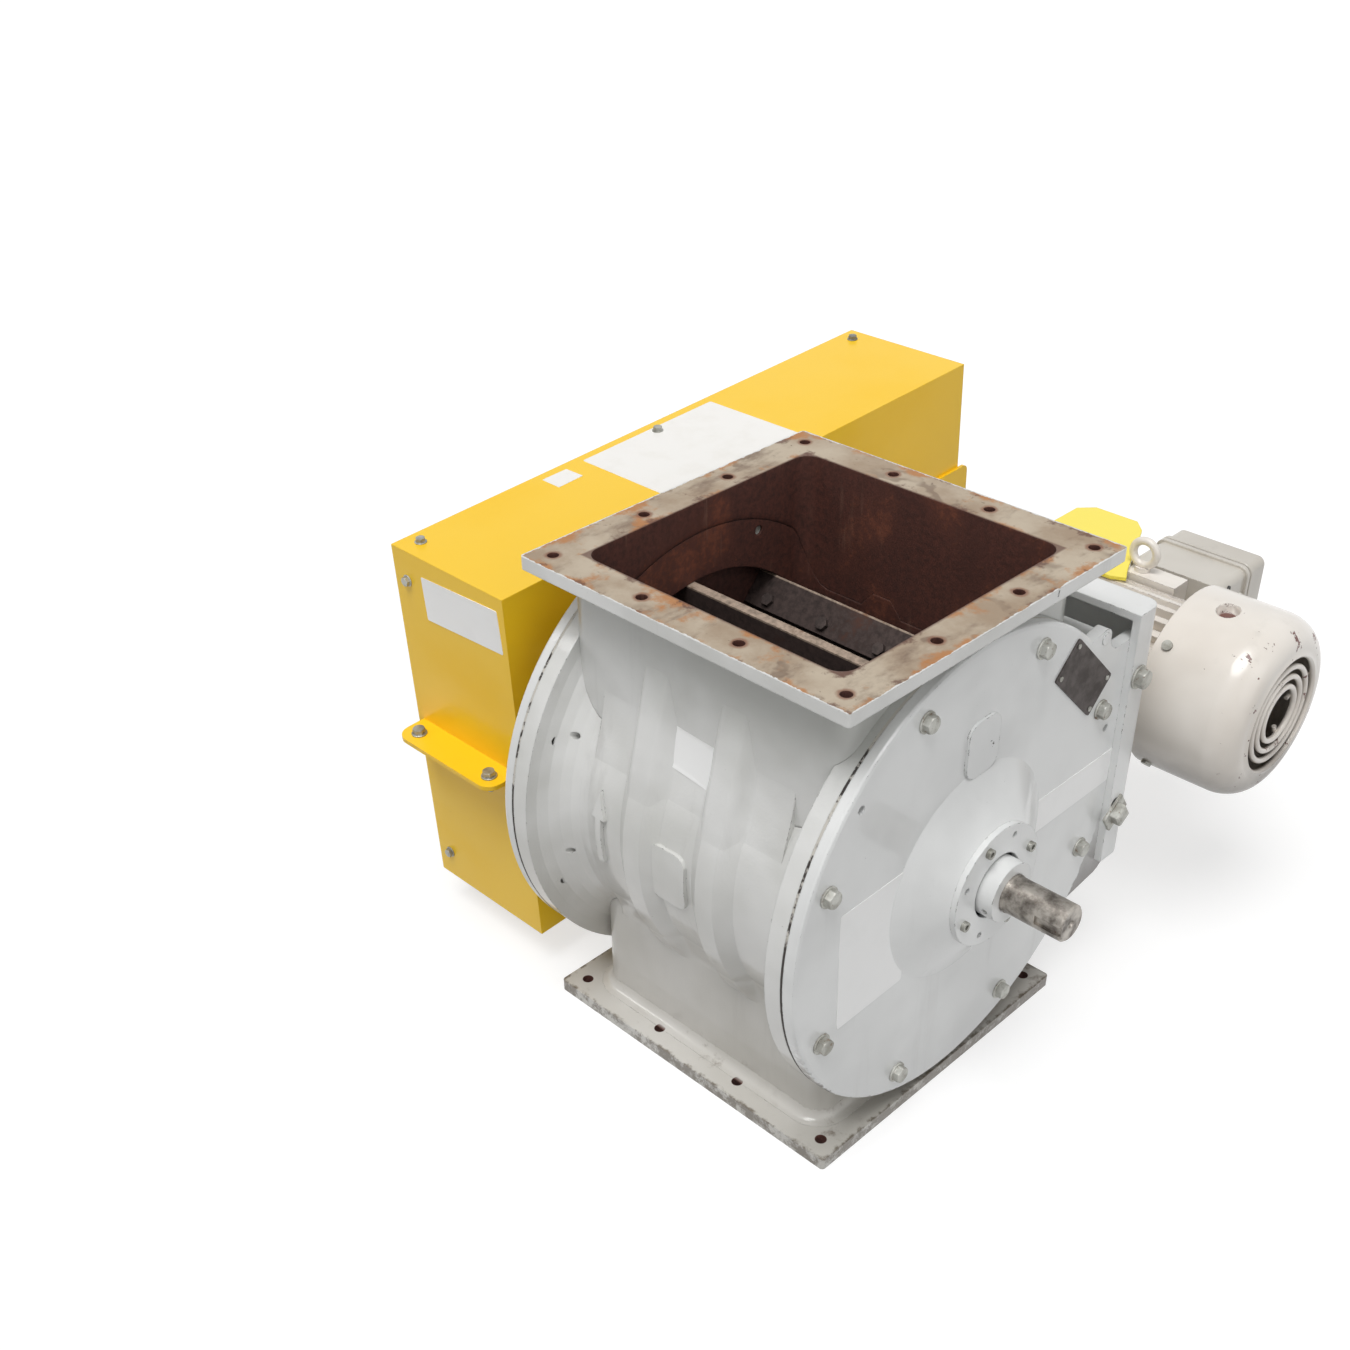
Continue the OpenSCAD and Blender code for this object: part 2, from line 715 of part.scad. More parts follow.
// The shaft steps down to the bare stub just outside the lock collar.
module rotor_shaft() {
  key_w = 9.5;
  key_len = 27;
  bevel = 2;
  step_x = collar_x1 + 3;
  color("rosybrown") at_rotor() difference() {
    union() {
      x_cyl(shaft_d, -drive_plate_x + bevel, step_x);
      x_cyl(stub_d, step_x - 1, stub_reach - bevel);
      x_turn([[0, stub_reach - bevel - 1], [stub_r, stub_reach - bevel - 1],
              [stub_r, stub_reach - bevel], [stub_r - bevel, stub_reach], [0, stub_reach]]);
      x_turn([[0, -drive_plate_x + bevel + 1], [shaft_r, -drive_plate_x + bevel + 1],
              [shaft_r, -drive_plate_x + bevel], [shaft_r - bevel, -drive_plate_x],
              [0, -drive_plate_x]]);
    }
    translate([stub_reach - key_len, -stub_r - 1, -key_w / 2]) cube([key_len + 1, 4, key_w]);
    x_turn([[0, stub_reach - 8], [4, stub_reach], [4, stub_reach + 1], [0, stub_reach + 1]]);
  }
}

module rotor_hub() {
  color("saddlebrown") at_rotor() x_tube(hub_d, shaft_d, -rotor_half, rotor_half);
}

module rotor_vanes() {
  color("saddlebrown") at_rotor() for (i = [0 : vane_count - 1])
    rotate([vane_start + i * 360 / vane_count, 0, 0]) difference() {
      translate([-rotor_half, hub_d / 2 - 1.5, -vane_t])
        cube([2 * rotor_half, vane_r - hub_d / 2 + 1.5, vane_t]);
      x_cyl(hub_d, -rotor_half - 1, rotor_half + 1);
      tip_bolt_holes(mount_bolt_d * 0.7, -vane_t - 1, 1);
    }
}

function tip_bolt_row() = [for (i = [-2 : 2]) i * rotor_half * 0.42];
tip_bolt_r = vane_r - tip_h * 0.22;

module tip_bolt_holes(d, z0, z1) {
  for (x = tip_bolt_row())
    translate([x, tip_bolt_r, z0]) cylinder(d = d, h = z1 - z0);
}

// Bars bolted to the leading face of each vane, rounded to follow the bore.
module vane_tips() {
  color("tan") at_rotor() for (i = [0 : vane_count - 1])
    rotate([vane_start + i * 360 / vane_count, 0, 0]) difference() {
      intersection() {
        translate([-rotor_half, tip_r - tip_h, 0]) cube([2 * rotor_half, tip_h + 5, tip_t]);
        x_cyl(2 * tip_r, -rotor_half - 1, rotor_half + 1);
      }
      tip_bolt_holes(mount_bolt_d * 0.7, -1, tip_t + 1);
    }
}

module tip_bolts() {
  d = 8;
  color("silver") at_rotor() for (i = [0 : vane_count - 1])
    rotate([vane_start + i * 360 / vane_count, 0, 0]) for (x = tip_bolt_row())
      translate([x, tip_bolt_r, 0]) {
        translate([0, 0, -vane_t - 5]) cylinder(d = d, h = tip_t + vane_t + 5);
        translate([0, 0, tip_t]) cylinder(d = 1.73 * d, h = 5, $fn = 6);
        translate([0, 0, -vane_t - 5]) cylinder(d = 1.73 * d, h = 5, $fn = 6);
      }
}

module lock_collars() {
  color("whitesmoke") at_rotor() both_ends() difference() {
    x_tube(collar_d, shaft_d, collar_x0, collar_x1);
    round_x(2, 0, 200) collar_screw_hole(6 + thread_d_gap);
  }
}

module collar_screw_hole(d) {
  translate([(collar_x0 + collar_x1) / 2 + 2, shaft_r, 0])
    rotate([-90, 0, 0]) cylinder(d = d, h = collar_d);
}

module collar_set_screws() {
  color("dimgray") at_rotor() both_ends() round_x(2, 0, 200)
    translate([(collar_x0 + collar_x1) / 2 + 2, shaft_r, 0]) rotate([-90, 0, 0]) difference() {
      cylinder(d = 6, h = collar_d / 2 - shaft_r - 2);
      translate([0, 0, collar_d / 2 - shaft_r - 5]) cylinder(d = 3.4, h = 4, $fn = 6);
    }
}

// ---- belt drive ----

// Outline of a two-groove sheave rim as [radius, x], grooves open outwards.
function groove(r, x) = [
  [r, x - belt_w / 2 - belt_clear],
  [r - belt_h - 3, x - belt_w / 2 - belt_clear + (belt_h + 3) * tan(wedge)],
  [r - belt_h - 3, x + belt_w / 2 + belt_clear - (belt_h + 3) * tan(wedge)],
  [r, x + belt_w / 2 + belt_clear]
];

module sheave(r, hub_bore_r, web_t, hub_r) {
  rim_in = r - belt_h - 13;
  difference() {
    x_turn(concat(
      [[hub_bore_r, -sheave_w / 2], [hub_r, -sheave_w / 2], [hub_r, -web_t / 2],
       [rim_in, -web_t / 2], [rim_in, -sheave_w / 2], [r, -sheave_w / 2]],
      groove(r, -groove_pitch / 2), groove(r, groove_pitch / 2),
      [[r, sheave_w / 2], [rim_in, sheave_w / 2], [rim_in, web_t / 2], [hub_r, web_t / 2],
       [hub_r, sheave_w / 2], [hub_bore_r, sheave_w / 2]]));
    if (rim_in - hub_r > 30)
      round_x(6, (rim_in + hub_r) / 2) x_cyl(rim_in - hub_r - 16, -web_t, web_t);
  }
}

module driven_sheave() {
  color("slategray") at_rotor() translate([-belt_plane, 0, 0])
    sheave(driven_r, bushing_r, 12, bushing_r + 14);
}

module driven_bushing() {
  color("gray") at_rotor() translate([-belt_plane, 0, 0]) difference() {
    union() {
      x_cyl(2 * bushing_r, -sheave_w / 2, sheave_w / 2);
      x_cyl(2 * bushing_flange_r, -sheave_w / 2 - 10, -sheave_w / 2);
    }
    x_cyl(shaft_d, -sheave_w, sheave_w);
  }
}

module driver_sheave() {
  color("slategray") at_drive() translate([-belt_plane, 0, 0])
    sheave(driver_r, output_d / 2 + 8, sheave_w, driver_r - belt_h - 14);
}

module driver_bushing() {
  color("gray") at_drive() translate([-belt_plane, 0, 0]) difference() {
    union() {
      x_cyl(output_d + 16, -sheave_w / 2, sheave_w / 2);
      x_cyl(output_d + 32, -sheave_w / 2 - 8, -sheave_w / 2);
    }
    x_cyl(output_d, -sheave_w, sheave_w);
  }
}

// Section of one belt as [x, radius] with its top at radius r.
function belt_section(r, x, skin = 0) =
  let (side = belt_w / 2 - skin / cos(wedge),
       top = side - skin * tan(wedge), foot = side - (belt_h - skin) * tan(wedge))
  [[x - top, r - skin], [x + top, r - skin], [x + foot, r - belt_h + skin],
   [x - foot, r - belt_h + skin]];

module belt_arc(r, x, start, sweep) {
  rotate([0, 90, 0]) rotate([0, 0, 90 + start]) rotate_extrude(angle = sweep)
    polygon([for (p = belt_section(r, x)) [p[1], p[0]]]);
}

// A straight run is a hair slimmer than the arcs and starts a little inside them.
module belt_straight(x) {
  lap = 1;
  skin = 0.05;
  rotate([-belt_tilt, 0, 0]) translate([0, belt_run + lap, 0]) rotate([90, 0, 0])
    linear_extrude(belt_run + 2 * lap) polygon(belt_section(driven_r, x, skin));
}

module v_belts() {
  wrap = 90 - belt_tilt;
  color([0.12, 0.12, 0.12]) at_line() translate([-belt_plane, 0, 0])
    for (x = [-groove_pitch / 2, groove_pitch / 2]) union() {
      belt_arc(driven_r, x, wrap, 360 - 2 * wrap);
      translate([0, centre_dist, 0]) belt_arc(driver_r, x, -wrap, 2 * wrap);
      belt_straight(x);
      mirror([0, 0, 1]) belt_straight(x);
    }
}

// ---- belt guard ----
// The guard is drawn along the line of centres and split in its plane.

// Upper half of the guard's box, cut back by inset on every closed side.
module guard_half_box(inset, open_back) {
  x0 = open_back ? guard_x0 - 1 : guard_x0 + inset;
  z0 = inset > 0 ? -1 : 0;
  translate([x0, guard_y0 + inset, z0])
    cube([-guard_inner - inset - x0, guard_y1 - guard_y0 - 2 * inset, guard_top - inset - z0]);
}

// Plan of the ear on one end wall, round at its outer corners.
module ear_plan(y_wall, out) {
  ear_w = guard_w - 18;
  translate([-guard_inner - guard_w / 2, y_wall + out * ear_reach / 2])
    rounded_square(ear_w, ear_reach, 16);
  translate([-guard_inner - guard_w / 2, y_wall + out * (ear_reach / 4 - 1)])
    square([ear_w, ear_reach / 2 + 2], center = true);
}

module guard_ears() {
  linear_extrude(guard_sheet) {
    ear_plan(guard_y0, -1);
    ear_plan(guard_y1, 1);
  }
}

function ear_bolt_places() = [
  for (x = [guard_x0 + 28, -guard_inner - 28], side = [-1, 1])
    [x, side < 0 ? guard_y0 - ear_bolt_y : guard_y1 + ear_bolt_y]
];

module ear_bolt_holes() {
  for (p = ear_bolt_places())
    translate([p[0], p[1], -20]) cylinder(d = ear_bolt_d + bolt_hole_gap, h = 40);
}

// Standoff places from the rotor axis, along and across the line of centres.
function standoff_places() = [[-120, 105], [150, 60], [-120, -105], [150, -60]];

module guard_shaft_holes() {
  wall_x0 = -guard_inner - 10;
  wall_x1 = -guard_inner + 10;
  x_cyl(boss_face_d + 12, wall_x0, wall_x1);
  translate([0, centre_dist, 0]) x_cyl(2 * snout_r + 12, wall_x0, wall_x1);
  for (p = standoff_places())
    translate([0, p[0], p[1]]) x_cyl(ear_bolt_d + bolt_hole_gap, wall_x0, wall_x1);
}

screw_x = guard_x0 + 20;
side_screw_z = guard_top - 34;
function top_screw_places() = [guard_y0 + 22, (guard_y0 + guard_y1) / 2, guard_y1 - 22];

module guard_screw_cuts(d) {
  for (y = top_screw_places())
    translate([screw_x, y, guard_top - 16]) cylinder(d = d, h = 30);
  for (y = [guard_y0, guard_y1])
    translate([screw_x, y - 16, side_screw_z]) rotate([-90, 0, 0]) cylinder(d = d, h = 32);
}

// Half of the guard above the line of centres; the lower half is its mirror image.
module guard_half_shell() {
  difference() {
    union() {
      difference() {
        guard_half_box(0, false);
        guard_half_box(guard_sheet, true);
      }
      guard_ears();
    }
    guard_shaft_holes();
    ear_bolt_holes();
    guard_screw_cuts(screw_d + bolt_hole_gap);
  }
}

module guard_upper_shell() {
  color("gold") at_line() guard_half_shell();
}

// The lower half carries a lap plate that stands up over the joint beside the drive shaft.
module guard_lower_shell() {
  lap_rise = 78;
  lap_y0 = centre_dist + snout_r + 12;
  lap_w = guard_y1 + 14 - lap_y0;
  color("gold") at_line() {
    mirror([0, 0, 1]) guard_half_shell();
    translate([0, lap_y0 + lap_w / 2, 0]) x_extrude(-guard_inner, -guard_inner + 4) {
      translate([0, lap_rise / 2 - 20]) rounded_square(lap_w, lap_rise + 40, 8);
    }
  }
}

// Cover of one half, a tray whose rim slips inside the shell.
module guard_cover() {
  gap = guard_sheet + slip;
  tray_w = guard_y1 - guard_y0 - 2 * gap;
  difference() {
    translate([guard_x0, guard_y0 + gap, slip])
      cube([cover_rim, tray_w, guard_top - gap - slip]);
    translate([guard_x0 + guard_sheet, guard_y0 + gap + guard_sheet, -1])
      cube([cover_rim, tray_w - 2 * guard_sheet, guard_top - gap - guard_sheet + 1]);
    guard_screw_cuts(screw_d + thread_d_gap);
  }
}

module guard_upper_cover() {
  color("goldenrod") at_line() guard_cover();
}

module guard_lower_cover() {
  color("goldenrod") at_line() mirror([0, 0, 1]) guard_cover();
}

module ear_bolt(d) {
  translate([0, 0, guard_sheet]) cylinder(d = 2.1 * d, h = 1.6);
  translate([0, 0, guard_sheet + 1.6]) cylinder(d = 1.73 * d, h = 5.4, $fn = 6);
  translate([0, 0, -guard_sheet - 12]) cylinder(d = d, h = guard_sheet * 2 + 14);
  translate([0, 0, -guard_sheet - 7]) cylinder(d = 1.73 * d, h = 7, $fn = 6);
}

module cover_screw() {
  translate([0, 0, -8]) cylinder(d = screw_d, h = 8);
  cylinder(d = 2 * screw_d, h = 1.5);
  translate([0, 0, 1.5]) cylinder(d = 1.73 * screw_d, h = 4, $fn = 6);
}

module guard_half_screws() {
  for (y = top_screw_places()) translate([screw_x, y, guard_top]) cover_screw();
  translate([screw_x, guard_y0, side_screw_z]) rotate([90, 0, 0]) cover_screw();
  translate([screw_x, guard_y1, side_screw_z]) rotate([-90, 0, 0]) cover_screw();
}

// Bolts through the ears and screws through the rims of the covers.
module guard_bolts() {
  color("silver") at_line() {
    for (p = ear_bolt_places()) translate([p[0], p[1], 0]) ear_bolt(ear_bolt_d);
    guard_half_screws();
    mirror([0, 0, 1]) guard_half_screws();
  }
}

module guard_standoffs() {
  color("silver") at_line() for (p = standoff_places()) translate([0, p[0], p[1]]) {
    x_cyl(20, -guard_inner, -plate_x1);
    x_cyl(ear_bolt_d, -plate_x1, -plate_x0 - 2);
    x_cyl(ear_bolt_d, -guard_inner - guard_sheet, -guard_inner);
    mirror([1, 0, 0]) x_nut(ear_bolt_d, guard_inner + guard_sheet, 6);
  }
}

// Yellow sheet bolted on top of the reducer, its corner cut away beside the lifting eye.
module reducer_guard_plate() {
  clip = 16;
  sheet = 4;
  x0 = case_x1 - 72;
  x1 = case_x1 + 63;
  y0 = pad_y - 19;
  y1 = pad_y + 114;
  color("gold") difference() {
    translate([0, 0, plate_seat_z]) linear_extrude(sheet)
      polygon([[x0, y0], [x1 - clip, y0], [x1, y0 + clip / 2], [x1 - 10, y0 + 26],
               [x0 + 86, y1 - clip], [x0 + 70, y1], [x0 + clip, y1], [x0, y1 - clip]]);
    reducer_plate_bolts(8.5, plate_seat_z - 1, plate_seat_z + sheet + 1);
  }
}

module reducer_plate_bolts(d, z0, z1) {
  for (x = [case_x1 - 50, case_x1 - 14])
    translate([x, pad_y, z0]) cylinder(d = d, h = z1 - z0);
}

// ---- motor mount ----

// Plan of the folded plate in (X, Y), round where it bends.
module channel_plan(half_x, y0, y1, r) {
  translate([-half_x, y0]) square([2 * half_x, y1 - y0 - r]);
  translate([-half_x + r, y0]) square([2 * (half_x - r), y1 - y0]);
  for (s = [-1, 1]) translate([s * (half_x - r), y1 - r]) circle(r = r);
}

module motor_plate() {
  z0 = axis_z - motor_plate_bottom;
  tall = motor_plate_top + motor_plate_bottom;
  slot_w = mount_bolt_d + 2;
  color("whitesmoke") difference() {
    translate([0, 0, z0]) linear_extrude(tall) channel_plan(fold_x1, fold_y0, web_y1, bend_r);
    translate([0, 0, z0 - 1]) linear_extrude(tall - motor_plate_t + 1)
      channel_plan(fold_x0, fold_y0 - 1, web_y0, bend_r - motor_plate_t);
    both_ends() translate([0, pivot_y, pivot_z])
      x_cyl(mount_bolt_d + bolt_hole_gap, fold_x0 - 1, fold_x1 + 1);
    both_ends() translate([0, clamp_y, clamp_z]) x_extrude(fold_x0 - 1, fold_x1 + 1) {
      square([slot_w, slot_len - slot_w], center = true);
      for (s = [-1, 1]) translate([0, s * (slot_len - slot_w) / 2]) circle(d = slot_w);
    }
    gear_foot_holes(mount_bolt_d + bolt_hole_gap, web_y0 - 1, web_y1 + 1);
  }
}

module gear_foot_holes(d, y0, y1) {
  for (sx = [-1, 1], sz = [-1, 1])
    translate([foot_x + sx * foot_bolt_x, y0, foot_z + sz * foot_bolt_z])
      rotate([-90, 0, 0]) cylinder(d = d, h = y1 - y0);
}

module tie_bar() {
  color("whitesmoke") at_rotor() translate([0, tie_y, tie_rise])
    x_cyl(tie_bar_d, -plate_x1 - 1, plate_x1 + 1);
}

module motor_plate_bolts() {
  grip = motor_plate_t + plate_t;
  color("silver") both_ends() {
    translate([0, pivot_y, pivot_z]) {
      x_bolt(mount_bolt_d, fold_x1, grip + 14);
      x_nut(mount_bolt_d, plate_x0 - 10, 10);
    }
    translate([0, clamp_y, clamp_z]) {
      x_cyl(mount_bolt_d, plate_x0 - 14, fold_x1 + 1);
      x_extrude(fold_x1, fold_x1 + 3) rotate(-35) square([24, 34], center = true);
      x_extrude(fold_x1 + 3, fold_x1 + 12) rotate(-35) square(18, center = true);
      x_nut(mount_bolt_d, plate_x0 - 10, 10);
    }
  }
}

module gear_foot_bolts() {
  d = mount_bolt_d;
  color("silver") for (sx = [-1, 1], sz = [-1, 1])
    translate([foot_x + sx * foot_bolt_x, 0, foot_z + sz * foot_bolt_z]) rotate([-90, 0, 0]) {
      translate([0, 0, web_y0 - 8]) cylinder(d = 1.73 * d, h = 8, $fn = 6);
      translate([0, 0, web_y0 - 8]) cylinder(d = d, h = motor_plate_t + foot_t + 18);
      translate([0, 0, web_y1 + foot_t]) cylinder(d = 1.73 * d, h = 10, $fn = 6);
    }
}

// ---- gear reducer ----

function inv(a) = tan(a) - a * PI / 180;

// Angle in degrees of a tooth flank at radius r, measured from the tooth's middle.
function flank_angle(teeth, r) =
  let (pitch_r = gear_module * teeth / 2, base_r = pitch_r * cos(20), play = 0.18,
       at = r <= base_r ? 0 : acos(base_r / r))
  90 / teeth - play / pitch_r * 180 / PI + (inv(20) - inv(at)) * 180 / PI;

// Involute tooth outline with a tooth centred on the first axis.
function gear_points(teeth) =
  let (pitch_r = gear_module * teeth / 2, root_r = pitch_r - 1.25 * gear_module,
       top_r = pitch_r + 0.9 * gear_module, base_r = pitch_r * cos(20),
       start_r = max(root_r, base_r),
       radii = [for (k = [0 : 4]) start_r + (top_r - start_r) * k / 4])
  [for (i = [0 : teeth - 1], p = concat(
      [[root_r, -flank_angle(teeth, start_r)]],
      [for (k = [0 : 4]) [radii[k], -flank_angle(teeth, radii[k])]],
      [for (k = [4 : -1 : 0]) [radii[k], flank_angle(teeth, radii[k])]],
      [[root_r, flank_angle(teeth, start_r)]]))
    [p[0] * cos(p[1] + i * 360 / teeth), p[0] * sin(p[1] + i * 360 / teeth)]];

// Gear on X from x0 to x1, turned by phase, with a bore.
module gear(teeth, x0, x1, phase, bore) {
  translate([x0, 0, 0]) rotate([0, 90, 0]) rotate(phase) linear_extrude(x1 - x0) difference() {
    polygon(gear_points(teeth));
    if (bore > 0) circle(d = bore);
  }
}

module gear_case() {
  color("antiquewhite") difference() {
    union() {
      at_drive() x_cyl(case_d, case_x0, case_x1);
      at_layshaft() x_cyl(2 * lay_case_r, case_x0 + 10, case_x1);
      at_drive() x_cyl(2 * snout_r, snout_x0, case_x0 + 1);
      at_drive() x_turn([[0, case_x0 - 16], [snout_r, case_x0 - 16], [case_r - 12, case_x0 + 1],
                         [0, case_x0 + 1]]);
      translate([foot_x - neck_half_x, web_y1, foot_z - foot_half_z + 34])
        cube([2 * neck_half_x, drive_y - web_y1, 2 * foot_half_z - 52]);
      translate([foot_x - foot_half_x, web_y1, foot_z - foot_half_z])
        cube([2 * foot_half_x, foot_t, 2 * foot_half_z]);
      translate([case_x1 - 66, pad_y - 16, plate_seat_z - 32]) cube([66, 32, 32]);
    }
    at_drive() x_cyl(case_d - 2 * case_wall, cavity_x0, case_x1 + 1);
    at_layshaft() x_cyl(2 * (lay_case_r - case_wall), cavity_x0, case_x1 + 1);
    at_drive() x_cyl(out_bearing_od, snout_x0 + 8, cavity_x0 + 1);
    at_drive() x_cyl(out_bearing_od - 12, snout_x0 - 1, cavity_x0);
    at_layshaft() x_cyl(lay_bearing_od, cavity_x0 - lay_bearing_w, cavity_x0 + 1);
    gear_foot_holes(mount_bolt_d + bolt_hole_gap, web_y1 - 1, web_y1 + foot_t + 1);
    reducer_plate_bolts(8.2, plate_seat_z - 16, plate_seat_z + 2);
  }
}

module gear_case_cover() {
  color("antiquewhite") difference() {
    union() {
      at_drive() x_cyl(cover_d, case_x1, cover_x1);
      at_layshaft() x_cyl(2 * lay_case_r, case_x1, cover_x1);
    }
    at_drive() x_cyl(motor_shaft_d + 10, case_x1 - 1, cover_x1 + 1);
    at_layshaft() x_cyl(lay_bearing_od, case_x1 - 1, case_x1 + lay_bearing_w);
  }
}

module output_shaft() {
  color("silver") at_drive() x_cyl(output_d, -drive_plate_x, stage2_x + wheel_w + 4);
}

module output_wheel() {
  color("silver") at_drive() gear(wheel_teeth, stage2_x, stage2_x + wheel_w, 0, output_d);
}

module layshaft() {
  color("silver") at_layshaft() {
    x_cyl(lay_d, cavity_x0 - lay_bearing_w, case_x1 + lay_bearing_w);
    gear(pinion_teeth, stage2_x - 2, stage2_x + wheel_w + 2, 180 / pinion_teeth, 0);
  }
}

module layshaft_wheel() {
  color("silver") at_layshaft()
    gear(wheel_teeth, stage1_x, stage1_x + wheel_w, 180 / wheel_teeth, lay_d);
}

module drive_bearings() {
  color("lightsteelblue") {
    at_drive() for (x = [snout_x0 + 8, cavity_x0 - out_bearing_w])
      x_tube(out_bearing_od, output_d + 2 * run_clear, x, x + out_bearing_w);
    at_layshaft() for (x = [cavity_x0 - lay_bearing_w, case_x1])
      x_tube(lay_bearing_od, lay_d + 2 * run_clear, x, x + lay_bearing_w);
    at_drive() for (x = [frame_x0 - motor_bearing_w, frame_x1])
      x_tube(motor_bearing_od, motor_shaft_d + 2 * run_clear, x, x + motor_bearing_w);
  }
}

module output_oil_seal() {
  color([0.15, 0.15, 0.15]) at_drive()
    x_tube(out_bearing_od - 12, output_d + 2 * run_clear, snout_x0, snout_x0 + 8);
}

// ---- motor ----

module motor_frame() {
  eye_block = 14;
  color("antiquewhite") difference() {
    at_drive() union() {
      x_tube(frame_d, frame_d - 2 * frame_wall, frame_x0, frame_x1);
      for (i = [0 : fin_count - 1]) fin(i * 360 / fin_count);
      // pad that carries the terminal box
      translate([box_x0 + 14, frame_r - 8, -box_h / 2 + 32])
        cube([box_len - 28, box_y0 - drive_y - frame_r + 8, box_h - 64]);
      // smooth block that carries the lifting eye
      translate([eye_x - eye_block, eye_side - eye_block, 0])
        cube([62, 2 * eye_block, fin_r]);
    }
    at_drive() x_cyl(frame_d - 2 * frame_wall, frame_x0 - 1, frame_x1 + 1);
    translate([eye_x, eye_y, drive_z + fin_r - 16]) cylinder(d = 8 + thread_d_gap, h = 20);
  }
}

// A fin stops a little short of the frame's ends, and its outer corners are cut.
module fin(a) {
  inset = 2;
  cut = 5;
  x0 = frame_x0 + inset;
  x1 = frame_x1 - inset;
  rotate([a, 0, 0]) translate([0, 0, -fin_t / 2]) linear_extrude(fin_t)
    polygon([[x0, frame_r - 2], [x1, frame_r - 2], [x1, fin_r - cut], [x1 - cut, fin_r],
             [x0 + cut, fin_r], [x0, fin_r - cut]]);
}

// The outer shield has four lugs that carry the fan cowl.
module motor_endshields() {
  color("antiquewhite") at_drive() {
    difference() {
      x_cyl(cover_d, motor_x0, frame_x0);
      x_cyl(motor_bearing_od, frame_x0 - motor_bearing_w, frame_x0 + 1);
      x_cyl(motor_shaft_d + 10, motor_x0 - 1, frame_x0 + 1);
    }
    difference() {
      union() {
        x_cyl(shield_d, frame_x1, shield_x1);
        intersection() {
          x_cyl(2 * (cowl_r - cowl_t - slip), frame_x1, shield_x1);
          for (a = [45, 135]) rotate([a, 0, 0])
            translate([frame_x1, -cowl_r, -9]) cube([shield_t, cowl_d, 18]);
        }
      }
      x_cyl(motor_bearing_od, frame_x1 - 1, frame_x1 + motor_bearing_w);
      x_cyl(motor_shaft_d + 10, frame_x1 - 1, shield_x1 + 1);
      cowl_screw_places() translate([0, 0, -cowl_screw_len]) cylinder(d = 6 + thread_d_gap, h = 30);
    }
  }
}

module stator_core() {
  color("saddlebrown") at_drive()
    x_tube(frame_d - 2 * frame_wall, frame_d - 2 * frame_wall - 36, frame_x0 + 22, frame_x1 - 22);
}

module rotor_core() {
  color("gray") at_drive()
    x_tube(frame_d - 2 * frame_wall - 38, motor_shaft_d, frame_x0 + 22, frame_x1 - 22);
}

module motor_shaft() {
  color("silver") at_drive() {
    x_cyl(motor_shaft_d, stage1_x + wheel_w + 6, fan_x0 + fan_w + 4);
    gear(pinion_teeth, stage1_x - 2, stage1_x + wheel_w + 6, 0, 0);
  }
}

module cooling_fan() {
  color([0.2, 0.2, 0.2]) at_drive() difference() {
    union() {
      x_cyl(motor_shaft_d + 22, fan_x0, fan_x0 + fan_w);
      x_cyl(2 * fan_r, fan_x0, fan_x0 + 3);
      round_x(8, motor_shaft_d / 2 + 6)
        translate([fan_x0, 0, -1.5]) cube([fan_w, fan_r - motor_shaft_d / 2 - 8, 3]);
    }
    x_cyl(motor_shaft_d, fan_x0 - 1, fan_x0 + fan_w + 1);
  }
}

// Outline of the cowl's outside as [radius, x], cut back by t for its inside.
function cowl_curve(t) = concat(
  [[cowl_r - t, cowl_x0]],
  [for (a = [0 : 10 : 90])
    [cowl_r - cowl_round + (cowl_round - t) * cos(a),
     cowl_x1 - cowl_round + (cowl_round - t) * sin(a)]]);

module fan_cowl() {
  color("antiquewhite") at_drive() {
    difference() {
      x_turn(concat([[0, cowl_x0]], cowl_curve(0), [[0, cowl_x1]]));
      x_turn(concat([[0, cowl_x0 - 1], [cowl_r - cowl_t, cowl_x0 - 1]], cowl_curve(cowl_t),
                    [[0, cowl_x1 - cowl_t]]));
      x_cyl(grille_d, cowl_x1 - cowl_t - 1, cowl_x1 + 1);
      cowl_screw_places() translate([0, 0, -6]) cylinder(d = 6.5, h = 12);
    }
    for (k = [1 : 3])
      x_tube(grille_d * k / 4 + 5, grille_d * k / 4 - 3, cowl_x1 - 4, cowl_x1 - 1);
    difference() {
      round_x(6, 0, 15) translate([cowl_x1 - 4, grille_r * 0.18, -2.5])
        cube([3, grille_r * 0.86, 5]);
      x_tube(cowl_d, grille_d + 1, cowl_x1 - 10, cowl_x1 + 1);
    }
  }
}

// Four screw places on the cowl's skin, with Z pointing outwards.
cowl_screw_len = 14;
module cowl_screw_places() {
  round_x(4, cowl_r, 45) translate([cowl_screw_x, 0, 0]) rotate([-90, 0, 0]) children();
}

module cowl_screws() {
  color("silver") at_drive() cowl_screw_places() {
    translate([0, 0, -cowl_screw_len]) cylinder(d = 6, h = cowl_screw_len);
    cylinder(d = 11, h = 3);
  }
}

module box_corner_places() {
  for (x = [box_x0 + 9, box_x1 - 9], z = [box_z0 + 9, box_z1 - 9])
    translate([x, 0, z]) children();
}

module box_slab(y0, y1, inset) {
  translate([(box_x0 + box_x1) / 2, y1, drive_z]) rotate([90, 0, 0])
    linear_extrude(y1 - y0) rounded_square(box_len - 2 * inset, box_h - 2 * inset, 9);
}

